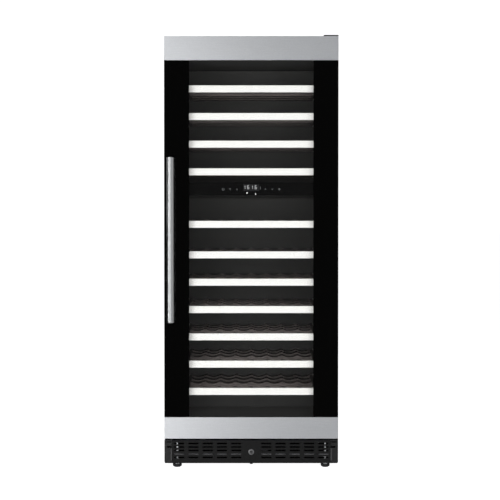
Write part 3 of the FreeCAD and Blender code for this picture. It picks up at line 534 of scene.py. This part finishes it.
def carved(piece, cutter_bm):
    """Cuts a shape out of a piece, once, into its mesh."""
    mesh = bpy.data.meshes.new("cutter")
    cutter_bm.to_mesh(mesh)
    cutter_bm.free()
    cutter = bpy.data.objects.new("cutter", mesh)
    bpy.context.scene.collection.objects.link(cutter)
    cut = piece.modifiers.new("cut", "BOOLEAN")
    cut.operation = "DIFFERENCE"
    cut.solver = "EXACT"
    cut.object = cutter
    bpy.context.view_layer.update()
    whole = piece.evaluated_get(bpy.context.evaluated_depsgraph_get())
    result = bpy.data.meshes.new_from_object(whole)
    piece.modifiers.clear()
    piece.data = result
    bpy.data.objects.remove(cutter)
    smoothed(piece)


def dome_outline(radius, height):
    """The (radius, height) points of a pan head, from its foot up to its crown."""
    points = [(0.0, 0.0), (radius, 0.0)]
    for step in range(1, 6):
        angle = math.radians(step * 15)
        shoulder = 0.35 * math.cos(angle) + 0.65 * (1 - step / 6) ** 0.4
        points.append((radius * shoulder, height * math.sin(angle)))
    return points + [(0.0, height)]


def screw_head(bm, centre, axis, radius, height):
    """A pan head whose crown carries a fine cross, standing for its driver's recess."""
    part = bmesh.new()
    add_turned(part, dome_outline(radius, height), (0, 0, 0), (0, 0, 1), steps=24)
    arm = radius * 1.05 / 2
    half_thick = radius * 0.2 / 2
    bottom = height * 0.96
    top = bottom + height * 0.12
    add_block(part, (-arm, -half_thick, bottom), (arm, half_thick, top))
    add_block(part, (-half_thick, -arm, bottom), (half_thick, arm, top))
    turn = Vector((0, 0, 1)).rotation_difference(Vector(axis)).to_matrix().to_4x4()
    bmesh.ops.transform(part, matrix=Matrix.Translation(centre) @ turn, verts=part.verts)
    merge(bm, part)


# ---------------------------------------------------------------- door


WINDOW_INSET = 9.5 * MM  # from the spacer's outer face to the print's inner edge
PRINT_MARGIN = 0.3 * MM
PRINT_THICKNESS = 0.12 * MM
SPACER_WIDTH = 8 * MM
SPACER_CHAMFER = (0.6 * MM, 0.8 * MM)
GASKET_WIDTH = 20 * MM

# the seal's section, from the door (0) to the cabinet (1), as parts of its width and depth
GASKET_SECTION = [
    (0.0, 0.0),
    (0.05, 0.16),
    (0.30, 0.24),
    (0.30, 0.34),
    (0.02, 0.46),
    (0.02, 0.56),
    (0.22, 0.66),
    (0.10, 0.76),
    (0.08, 1.0),
    (0.86, 1.0),
    (0.88, 0.78),
    (0.72, 0.66),
    (0.98, 0.54),
    (0.98, 0.44),
    (0.70, 0.32),
    (0.72, 0.22),
    (1.0, 0.14),
    (1.0, 0.0),
]


def build_door():
    """The door's pieces; the panes and bushes keep their CAD shape."""
    softened("door_trims", 0.6 * MM, STEEL_X, name="steel_trims")
    softened("door_frame", 0.5 * MM, FRAME_PLASTIC)
    painted(GLASS, "glass_outer", "glass_inner")
    painted(NYLON, "hinge_bushes")
    build_border_print()
    build_spacer()
    build_gasket()
    build_handle()


def build_border_print():
    """The black enamel on the back of the outer pane, left and right of the clear window."""
    low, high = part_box("glass_outer")
    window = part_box("glass_spacer")[1].x - WINDOW_INSET
    back = high.y - 0.02 * MM
    front = back - PRINT_THICKNESS
    bottom = low.z + PRINT_MARGIN
    top = high.z - PRINT_MARGIN
    bm = bmesh.new()
    for side in (-1, 1):
        left, right = sorted((side * window, side * (high.x - PRINT_MARGIN)))
        add_block(bm, (left, front, bottom), (right, back, top))
    piece_from(bm, "border_print", "door", PRINT)


def build_spacer():
    """The warm-edge bar between the panes, mitred at its corners, with chamfered inner edges."""
    low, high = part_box("glass_spacer")
    width = SPACER_WIDTH
    across, along = SPACER_CHAMFER
    profile = [
        (across, low.y),
        (0.0, low.y + along),
        (0.0, high.y - along),
        (across, high.y),
        (width, high.y),
        (width, low.y),
    ]
    bm = bmesh.new()
    add_mitred_frame(bm, profile, high.x - width, low.z + width, high.z - width)
    piece = piece_from(bm, "pane_spacer", "door", FRAME_PLASTIC)
    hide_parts("glass_spacer")


def build_gasket():
    """The magnetic seal: a foot in the door, two bellows folds and a flat magnet pocket."""
    low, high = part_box("door_gasket")
    width = GASKET_WIDTH
    deep = high.y - low.y
    profile = [(out * width, low.y + along * deep) for out, along in GASKET_SECTION]
    bm = bmesh.new()
    add_mitred_frame(bm, profile, high.x - width, low.z + width, high.z - width)
    piece = piece_from(bm, "seal_bellows", "door", RUBBER, sharp=70)
    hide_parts("door_gasket")


BAR_RIM = 1.2 * MM


def rim_arc(radius, end, flip):
    """The rounded rim at one end of the bar; flip is 1 at its start and -1 at its far end."""
    arc = []
    for step in range(1, 5):
        angle = math.radians(22.5 * step)
        out = radius - BAR_RIM + BAR_RIM * math.sin(angle)
        arc.append((out, end + flip * (BAR_RIM - BAR_RIM * math.cos(angle))))
    return arc[::flip]


def build_handle():
    """The round bar with rounded rims, and its stand-offs."""
    low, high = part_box("handle_bar")
    centre = (low + high) / 2
    radius = (high.x - low.x) / 2
    length = high.z - low.z
    outline = [(0.0, 0.0), (radius - BAR_RIM, 0.0)]
    outline += rim_arc(radius, 0.0, 1) + rim_arc(radius, length, -1)
    outline += [(radius - BAR_RIM, length), (0.0, length)]
    bm = bmesh.new()
    add_turned(bm, outline, (centre.x, centre.y, low.z), (0, 0, 1), steps=96)
    bar = piece_from(bm, "handle_tube", "door", STEEL_Z)
    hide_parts("handle_bar")
    build_handle_posts(centre, radius)


def build_handle_posts(bar_centre, bar_radius):
    """The two stand-offs, from the glass into the bar, each with a stepped collar."""
    low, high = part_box("handle_posts")
    radius = (high.x - low.x) / 2
    reach = high.y - bar_centre.y - bar_radius * 0.75
    collar = [
        (0.0, 0.0),
        (radius, 0.0),
        (radius, 1.4 * MM),
        (radius - 0.5 * MM, 2.0 * MM),
        (radius - 0.5 * MM, 3.0 * MM),
        (radius - 0.1 * MM, 3.5 * MM),
        (radius - 0.1 * MM, reach),
        (0.0, reach),
    ]
    bm = bmesh.new()
    for z in (low.z + radius, high.z - radius):
        add_turned(bm, collar, (bar_centre.x, high.y, z), (0, -1, 0), steps=48)
    posts = piece_from(bm, "handle_standoffs", "door", STEEL_Z)
    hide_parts("handle_posts")


# ---------------------------------------------------------------- shelves


RACK_RAIL_WIDTH = 18 * MM


def build_shelves():
    """The racks, whose side rails have their grain running inwards, and their front strips."""
    count = sum(1 for name in nodes if name.startswith("shelf_rack_"))
    for number in range(1, count + 1):
        body = f"shelf_{number}"
        rack = f"shelf_rack_{number}"
        bm = bmesh_of(rack)
        broken_edges(bm, 0.9 * MM, 2, corner=40)
        piece = piece_from(bm, f"wooden_rack_{number}", body, WOOD_X, WOOD_Y)
        rail_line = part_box(rack)[1].x - RACK_RAIL_WIDTH
        for polygon in piece.data.polygons:
            if abs(polygon.center.x) > rail_line - 0.01 * MM:
                polygon.material_index = 1
        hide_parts(rack)
        strip = f"shelf_trim_{number}"
        softened(strip, 0.45 * MM, STRIP_STEEL, name=f"steel_strip_{number}")


# ---------------------------------------------------------------- cabinet


PIN_REACH = 4.2 * MM
SHOULDER_REACH = 7.5 * MM
PIN_CLEARANCE = 0.15 * MM
SCREW_COLUMNS = (-0.285, 0.0, 0.285)
SCREW_ROWS = (0.045, 0.220, 0.645, 1.065, 1.460)
SCREW_RADIUS = 4 * MM
PLATE_SCREWS = ((0.260, -0.190), (0.260, -0.165), (0.285, -0.190), (0.285, -0.165))
PLATE_SCREW_RADIUS = 2.9 * MM
PLATE_SCREW_HEIGHT = 1.3 * MM
PLATE_SCREW_DROP = 1.6 * MM


def build_hinges():
    """The hinge plates, whose pins and shoulder keep a hair clear of the faceted bushes."""
    low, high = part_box("hinge_bushes")
    axis = (low + high) / 2
    bm = bmesh_of("hinge_brackets")
    for vert in bm.verts:
        away = Vector((vert.co.x - axis.x, vert.co.y - axis.y, 0))
        if away.length < PIN_REACH:
            vert.co -= away.normalized() * PIN_CLEARANCE
        elif away.length < SHOULDER_REACH and abs(vert.co.z - low.z) < 0.05 * MM:
            vert.co.z -= PIN_CLEARANCE
    broken_edges(bm, 0.35 * MM, 2)
    piece = piece_from(bm, "hinge_brackets_finished", "cabinet", HINGE_PAINT)
    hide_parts("hinge_brackets")


def build_cabinet():
    """The case and everything fixed in it; the liner's ceiling and floors get a lighter grey of
    the same plastic, painted light that makes up for the shade they lie in.
    """
    softened("outer_case", 0.4 * MM, CASE_PAINT)
    liner = softened("inner_liner", 0.8 * MM, LINER)
    liner.data.materials.append(LINER_PAINTED_LIGHT)
    # the up- and down-facing faces take the painted-light grey
    for polygon in liner.data.polygons:
        if abs(polygon.normal.z) > 0.8:
            polygon.material_index = 1
    softened("duct_covers", 0.5 * MM, DUCT)
    softened("zone_divider", 0.7 * MM, LINER)
    softened("control_panel", 0.8 * MM, PANEL, segments=3)
    build_hinges()
    softened("light_bars", 1.5 * MM, DIFFUSER, segments=4)
    painted(GALVANISED, "rear_panel")
    painted(FOAM, "insulation")
    painted(ZINC, "shelf_runners")
    painted(COPPER, "refrigerant_pipes")
    painted(ALUMINIUM, "evaporators")
    painted(CASE_PAINT, "compressor", "condenser")
    painted(GREY_PLASTIC, "drip_tray")
    painted(PLINTH, "fan_motors", "fan_rotor_upper", "fan_rotor_lower", "condenser_fan_rotor")
    softened("mains_inlet", 0.3 * MM, FRAME_PLASTIC)
    build_screws()
    build_display()


def build_screws():
    """Pan heads round the back panel and flush heads in the upper hinge plate."""
    bm = bmesh.new()
    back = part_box("rear_panel")[1].y
    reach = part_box("cabinet_screws")[1].y - back
    for x in SCREW_COLUMNS:
        for z in SCREW_ROWS:
            screw_head(bm, (x, back, z), (0, 1, 0), SCREW_RADIUS, reach * 0.92)
    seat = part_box("hinge_brackets")[1].z - PLATE_SCREW_DROP
    for x, y in PLATE_SCREWS:
        screw_head(bm, (x, y, seat), (0, 0, 1), PLATE_SCREW_RADIUS, PLATE_SCREW_HEIGHT)
    piece = piece_from(bm, "screw_heads", "cabinet", ZINC)
    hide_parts("cabinet_screws")


SEGMENTS = {"1": "bc", "6": "acdefg"}
DIGIT_WIDE = 7 * MM
DIGIT_TALL = 13.5 * MM
READOUTS = (("1", -24.0), ("6", -10.6), ("1", 1.6), ("6", 15.6))  # figure, and its middle in mm


def add_digit(bm, digit, x, z, wide, tall, y0, y1):
    """One seven-segment figure whose middle is at (x, z)."""
    bar = tall * 0.11
    gap = bar * 0.18
    half_wide = wide / 2
    half_tall = tall / 2

    def across(level):  # a level bar
        left, right = x - half_wide + bar * 0.6, x + half_wide - bar * 0.6
        mid = z + level
        tip = bar / 2
        return [
            (left, mid),
            (left + tip, mid + tip),
            (right - tip, mid + tip),
            (right, mid),
            (right - tip, mid - tip),
            (left + tip, mid - tip),
        ]

    def upright(side, low, high):  # an upright bar at the left (-1) or right (1)
        mid = x + side * (half_wide - bar / 2)
        tip = bar / 2
        return [
            (mid, z + low + gap),
            (mid + tip, z + low + tip + gap),
            (mid + tip, z + high - tip - gap),
            (mid, z + high - gap),
            (mid - tip, z + high - tip - gap),
            (mid - tip, z + low + tip + gap),
        ]

    top = half_tall - bar / 2
    shapes = {
        "a": across(top),
        "g": across(0),
        "d": across(-top),
        "f": upright(-1, 0, top),
        "b": upright(1, 0, top),
        "e": upright(-1, -top, 0),
        "c": upright(1, -top, 0),
    }
    for segment in SEGMENTS[digit]:
        add_prism(bm, shapes[segment], y0, y1)


def build_display():
    """The two zone readouts, their lamps, and the touch keys' marks on the panel."""
    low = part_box("control_panel")[0]
    build_display_window(low.y, low.z)
    y0 = low.y - 0.25 * MM
    y1 = low.y + 0.05 * MM
    digits = bmesh.new()
    for digit, x in READOUTS:
        middle = low.z + 28.6 * MM
        add_digit(digits, digit, x * MM, middle, DIGIT_WIDE, DIGIT_TALL, y0, y1)
    piece_from(digits, "zone_readouts", "cabinet", DIGITS)
    build_lamps(low.z, y0, y1)
    build_keys(low.z + 21.6 * MM, y0, y1)


def build_display_window(face, base):
    """The dark window that both readouts stand in."""
    bm = bmesh.new()
    near = (-27 * MM, face - 0.12 * MM, base + 15.5 * MM)
    far = (27 * MM, face + 0.1 * MM, base + 38.5 * MM)
    add_block(bm, near, far, 0.05 * MM)
    window = piece_from(bm, "display_window", "cabinet", WINDOW_TINT)


def build_lamps(base, y0, y1):
    """A small lit mark under each readout."""
    lamps = bmesh.new()
    add_arc(lamps, -14.5 * MM, base + 8.8 * MM, 1.4 * MM, 2.0 * MM, 0, 360, y0, y1)
    add_block(lamps, (-15.4 * MM, y0, base + 5.8 * MM), (-13.6 * MM, y1, base + 6.5 * MM))
    add_block(lamps, (14.0 * MM, y0, base + 4.0 * MM), (15.8 * MM, y1, base + 8.6 * MM))
    add_arc(lamps, 14.9 * MM, base + 3.8 * MM, 1.0 * MM, 1.4 * MM, 0, 360, y0, y1)
    piece_from(lamps, "zone_lamps", "cabinet", LAMPS)


POWER_X = -97 * MM
LAMP_X = -73 * MM
LOCK_X = -49 * MM
DOTS_X = 31.5 * MM
UP_X = 49 * MM
DOWN_X = 73 * MM
MODE_X = 97 * MM
KEY_LINE = 0.9 * MM


def build_keys(level, y0, y1):
    """Plain marks for the touch keys, left to right."""
    bm = bmesh.new()
    add_power_mark(bm, level, y0, y1)
    add_lamp_mark(bm, level, y0, y1)
    add_lock_mark(bm, level, y0, y1)
    add_arrow(bm, UP_X, level + 3.4 * MM, level - 2.0 * MM, 1, y0, y1)
    add_arrow(bm, DOWN_X, level - 2.2 * MM, level + 1.4 * MM, -1, y0, y1)
    for radius, steps in ((3.0, 28), (0.9, 16)):
        add_arc(bm, MODE_X, level, radius * MM, KEY_LINE, 0, 360, y0, y1, steps=steps)
    for lift in (1.5, 7.5):
        add_arc(bm, DOTS_X, level + lift * MM, 0.8 * MM, 1.2 * MM, 0, 360, y0, y1, steps=16)
    piece_from(bm, "touch_keys", "cabinet", ICONS)


def add_power_mark(bm, level, y0, y1):
    """A ring open at the top, with an upright in the gap."""
    half = KEY_LINE / 2
    add_arc(bm, POWER_X, level, 3.4 * MM, KEY_LINE * 1.4, 125, 415, y0, y1, steps=28)
    add_block(
        bm, (POWER_X - half, y0, level + 0.6 * MM), (POWER_X + half, y1, level + 4.6 * MM)
    )


def add_lamp_mark(bm, level, y0, y1):
    """A bulb over the two rings of its cap."""
    middle = level + 0.8 * MM
    add_arc(bm, LAMP_X, middle, 2.3 * MM, KEY_LINE * 0.8, -50, 230, y0, y1, steps=24)
    for drop in (2.1, 3.4):
        z = level - drop * MM
        add_block(bm, (LAMP_X - 1.2 * MM, y0, z), (LAMP_X + 1.2 * MM, y1, z + 0.6 * MM))


def add_lock_mark(bm, level, y0, y1):
    """A padlock: its shackle over an open square."""
    bottom = level - 2.6 * MM
    add_arc(bm, LOCK_X, level + 0.8 * MM, 1.4 * MM, KEY_LINE * 0.6, 0, 180, y0, y1, steps=12)
    for side in (-1, 1):
        middle = LOCK_X + side * 1.8 * MM
        left = middle - 0.25 * MM
        right = middle + 0.25 * MM
        add_block(bm, (left, y0, bottom), (right, y1, level + 0.6 * MM))
    for z in (bottom, level + 0.1 * MM):
        add_block(bm, (LOCK_X - 1.55 * MM, y0, z), (LOCK_X + 1.55 * MM, y1, z + 0.5 * MM))


def add_arrow(bm, x, tip, foot, up, y0, y1):
    """A chevron from its tip to its feet; up is 1 for the up key and -1 for the down key."""
    heel = foot - up * 0.7 * MM
    arrow = [
        (x, tip),
        (x + 2.6 * MM, foot),
        (x + 1.5 * MM, heel),
        (x, tip - up * 1.9 * MM),
        (x - 1.5 * MM, heel),
        (x - 2.6 * MM, foot),
    ]
    add_prism(bm, arrow, y0, y1)


# ---------------------------------------------------------------- plinth


CORNER_SLOTS = ((3, 19, 88.5, 92.5), (1.5, 17, 70.5, 76.5))  # near, far, bottom, top, in mm
CORNER_RIB = (1.6 * MM, 27 * MM, 68 * MM)  # half width, bottom, top
FEET = ("foot_front_left", "foot_front_right", "foot_rear_left", "foot_rear_right")

# name, bottom, top, front behind the grille, thickness (all in mm), material, slot
GRILLE_RIBS = (
    ("grille_rib", 45.6, 52.4, 3.45, 1.6, PLINTH, "black_plastic"),
    ("grille_rib_edge", 47.7, 48.6, 2.55, 0.8, SILL_STEEL, "zinc_steel"),
)
RIB_INNER = 20 * MM


def build_plinth():
    """The grille and what stands behind it, the pan, the lock and the feet."""
    softened("kick_plate", 0.6 * MM, PLINTH, name="vent_grille")
    build_grille_rib()
    build_pan()
    build_lock()
    for name in FEET:
        build_foot(name)


def build_grille_rib():
    """The stiffening rib that closes the fourth row of slots from behind, and its bright edge."""
    low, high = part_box("kick_plate")
    outer = high.x - 4 * MM
    for name, bottom, top, behind, thick, material, slot in GRILLE_RIBS:
        front = low.y + behind * MM
        bm = bmesh.new()
        for side in (-1, 1):
            left, right = sorted((side * RIB_INNER, side * outer))
            near = (left, front, bottom * MM)
            far = (right, front + thick * MM, top * MM)
            add_block(bm, near, far, 0.3 * MM)
        piece_from(bm, name, "cabinet", material)


def build_pan():
    """The pan and the plinth's corners, with the slots cut in the corners, and their ribs."""
    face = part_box("base_pan")[0].y
    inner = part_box("kick_plate")[1].x + 1 * MM
    pan = softened("base_pan", 0.4 * MM, CASE_PAINT, name="pan_and_corners")
    cutter = bmesh.new()
    for side in (-1, 1):
        for near, far, bottom, top in CORNER_SLOTS:
            left, right = sorted((side * (inner + near * MM), side * (inner + far * MM)))
            start = (left, face - 1 * MM, bottom * MM)
            end = (right, face + 6 * MM, top * MM)
            add_block(cutter, start, end, 0.3 * MM)
    carved(pan, cutter)
    half, bottom, top = CORNER_RIB
    bm = bmesh.new()
    for side in (-1, 1):
        x = side * (inner + 2.5 * MM)
        start = (x - half, face - 0.8 * MM, bottom)
        end = (x + half, face + 0.3 * MM, top)
        add_block(bm, start, end, 0.6 * MM)
    piece_from(bm, "corner_ribs", "cabinet", RIB_PLASTIC)


LOCK_BORE = 5.05 * MM
BARREL_RADIUS = 8.0 * MM
FLANGE_RADIUS = 11.0 * MM
RING_RADIUS = 10.0 * MM
SHUTTER_HALF = 3.7 * MM


def build_lock():
    """The lock's barrel with its rounded ring, and the turning plug with its dust shutter."""
    low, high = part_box("lock_body")
    centre = (low + high) / 2
    depth = high.y - low.y
    outline = [
        (LOCK_BORE, 0.0),
        (LOCK_BORE + 0.9 * MM, 0.0),
        (RING_RADIUS - 1.1 * MM, 0.0),
        (RING_RADIUS - 0.3 * MM, 0.3 * MM),
        (RING_RADIUS, 0.9 * MM),
        (RING_RADIUS, 1.5 * MM),
        (BARREL_RADIUS, 1.5 * MM),
        (BARREL_RADIUS, 4.0 * MM),
        (FLANGE_RADIUS, 4.0 * MM),
        (FLANGE_RADIUS, 7.5 * MM),
        (BARREL_RADIUS, 7.5 * MM),
        (BARREL_RADIUS, depth),
        (LOCK_BORE, depth),
        (LOCK_BORE, 0.0),
    ]
    bm = bmesh.new()
    add_turned(bm, outline, (centre.x, low.y, centre.z), (0, 1, 0), steps=48)
    ring = piece_from(bm, "lock_barrel", "cabinet", CHROME)
    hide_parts("lock_body")
    softened("lock_plug", 0.15 * MM, LOCK_FACE, name="lock_key_plug")
    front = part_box("lock_plug")[0].y
    start = (centre.x - SHUTTER_HALF, front - 0.15 * MM, centre.z + 0.4 * MM)
    end = (centre.x + SHUTTER_HALF, front + 0.1 * MM, centre.z + 3.2 * MM)
    bm = bmesh.new()
    add_block(bm, start, end, 0.1 * MM)
    piece_from(bm, "lock_dust_shutter", "lock", LOCK_SHUTTER)


CUP_TOP = 12.0 * MM
CUP_FLOOR = 9.0 * MM
COLLAR_RADIUS = 6.9 * MM
COLLAR_TOP = 15.9 * MM
COLLAR_BEVEL = (0.6 * MM, 0.7 * MM)  # across, along
THREAD_PITCH = 1.0 * MM
THREAD_DEPTH = 0.6 * MM
STUD_RADIUS = 3.0 * MM


def cup_outline(radius):
    """The foot's cup, from the middle of its sole, over its rim, to the middle of its floor."""
    return [
        (0.0, 0.0),
        (radius * 0.66, 0.0),
        (radius * 0.72, 0.7 * MM),
        (radius * 0.97, 3.2 * MM),
        (radius, 4.2 * MM),
        (radius, CUP_TOP - 0.6 * MM),
        (radius * 0.97, CUP_TOP),
        (radius * 0.88, CUP_TOP),
        (radius * 0.84, CUP_TOP - 0.6 * MM),
        (radius * 0.80, CUP_FLOOR + 0.2 * MM),
        (0.0, CUP_FLOOR),
    ]


def collar_outline():
    """The collar between cup and stud, bevelled at its top."""
    across, along = COLLAR_BEVEL
    return [
        (0.0, CUP_FLOOR),
        (COLLAR_RADIUS, CUP_FLOOR),
        (COLLAR_RADIUS, COLLAR_TOP - along),
        (COLLAR_RADIUS - across, COLLAR_TOP),
        (0.0, COLLAR_TOP),
    ]


def thread_outline(top):
    """Rounds of crest and valley, from the collar up to just under top."""
    valley = STUD_RADIUS - THREAD_DEPTH
    height = COLLAR_TOP
    outline = [(0.0, height)]
    while height < top - THREAD_PITCH - 0.6 * MM:
        outline.append((valley, height))
        outline.append((STUD_RADIUS, height + THREAD_PITCH / 2))
        height += THREAD_PITCH
    outline.append((valley, height))
    outline.append((0.0, height + 0.4 * MM))
    return outline


def build_foot(node):
    """A levelling foot: dark cup with a hollow rim, bright hexagon collar, and a grooved stud."""
    low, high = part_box(node)
    place = ((low.x + high.x) / 2, (low.y + high.y) / 2, low.z)
    radius = (high.x - low.x) / 2
    bm = bmesh.new()
    add_turned(bm, cup_outline(radius), place, (0, 0, 1), steps=40)
    pad = piece_from(bm, f"{node}_pad", node, FOOT_PLASTIC, sharp=40)
    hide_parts(node)
    bm = bmesh.new()
    add_turned(bm, collar_outline(), place, (0, 0, 1), steps=6)
    add_turned(bm, thread_outline(high.z - low.z), place, (0, 0, 1), steps=20)
    stud = piece_from(bm, f"{node}_stud", node, STUD_ZINC, sharp=30)


# ---------------------------------------------------------------- camera, light and floor


CAMERA_DISTANCE = 4.643  # in front of the door's face
CAMERA_X = -4.3 * MM
CAMERA_HEIGHT = 0.908
CAMERA_TILT = math.radians(1.0)
LENS_LENGTH = 97.9
LENS_SHIFT = -0.0459


def build_camera():
    """A little above the middle, nearly level, with the small drop of the lens that frames it."""
    door_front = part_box("glass_outer")[0].y
    camera_data = bpy.data.cameras.new("camera")
    camera_data.sensor_width = 36.0
    camera_data.lens = LENS_LENGTH
    camera_data.shift_y = LENS_SHIFT
    camera = bpy.data.objects.new("camera", camera_data)
    camera.location = (CAMERA_X, door_front - CAMERA_DISTANCE, CAMERA_HEIGHT)
    camera.rotation_euler = (math.pi / 2 - CAMERA_TILT, 0, 0)
    bpy.context.scene.collection.objects.link(camera)
    bpy.context.scene.camera = camera


def softbox(name, place, width, height, level, colour=(1, 1, 1), aim=(0, -0.25, 0.74)):
    """A rectangular light aimed at the door's middle; level is how bright its face is."""
    data = bpy.data.lights.new(name, "AREA")
    data.shape = "RECTANGLE"
    data.size = width
    data.size_y = height
    data.energy = level * 4 * width * height
    data.color = colour
    lamp = bpy.data.objects.new(name, data)
    lamp.location = place
    lamp.rotation_euler = (Vector(aim) - Vector(place)).to_track_quat("-Z", "Y").to_euler()
    lamp.visible_camera = False
    bpy.context.scene.collection.objects.link(lamp)
    return lamp


def build_studio():
    """Two tall panels beside the camera, a fill between them, a strip, and light all round."""
    softbox("panel_left", (-1.45, -4.3, 0.55), 1.5, 3.6, 2.5)
    softbox("panel_right", (1.9, -4.3, 0.55), 2.3, 3.6, 0.62, (0.96, 0.98, 1.0))
    softbox("strip_left", (-3.3, -1.7, 0.9), 0.45, 2.8, 5.5)
    softbox("side_right", (3.2, -1.2, 1.0), 1.6, 2.8, 0.65)
    softbox("top", (0, -1.4, 3.4), 2.4, 1.6, 1.0)
    softbox("back_left", (-2.4, 3.4, 1.8), 2.0, 2.2, 0.6)
    softbox("back_right", (2.6, 2.6, 1.4), 1.6, 2.2, 1.4)
    front = softbox("front_fill", (0, -4.5, 0.7), 3.2, 2.4, 8.2)
    front.visible_glossy = False
    world = bpy.data.worlds.new("studio")
    world.use_nodes = True
    tree = world.node_tree
    background = tree.nodes["Background"]
    background.inputs["Color"].default_value = (1, 1, 1, 1)
    path = tree.nodes.new("ShaderNodeLightPath")
    strength = tree.nodes.new("ShaderNodeMapRange")
    strength.inputs["To Min"].default_value = 0.05
    strength.inputs["To Max"].default_value = 1.1
    tree.links.new(path.outputs["Is Camera Ray"], strength.inputs["Value"])
    tree.links.new(strength.outputs["Result"], background.inputs["Strength"])
    bpy.context.scene.world = world
    bpy.context.scene.view_settings.view_transform = "Standard"


def build_floor():
    """A plain pale floor that lifts itself a little, so that it stays even to the horizon."""
    bm = bmesh.new()
    bmesh.ops.create_grid(bm, x_segments=1, y_segments=1, size=40.0)
    mesh = bpy.data.meshes.new("floor")
    bm.to_mesh(mesh)
    bm.free()
    material, tree, shader = new_material("floor", (0.4, 0.4, 0.4), 0.9)
    shader.inputs["Emission Color"].default_value = (1, 1, 1, 1)
    shader.inputs["Emission Strength"].default_value = 1.0
    bumped(tree, shader, noise(tree, placed(tree), 40.0), 0.02, 0.001)
    mesh.materials.append(material)
    floor = bpy.data.objects.new("floor", mesh)
    floor.visible_glossy = False
    floor.visible_diffuse = False
    floor.visible_shadow = False
    bpy.context.scene.collection.objects.link(floor)


build_door()
build_shelves()
build_cabinet()
build_plinth()
build_camera()
build_studio()
build_floor()


def corners(box):
    """A box's two corners as plain lists of numbers."""
    return [[float(value) for value in corner] for corner in box]
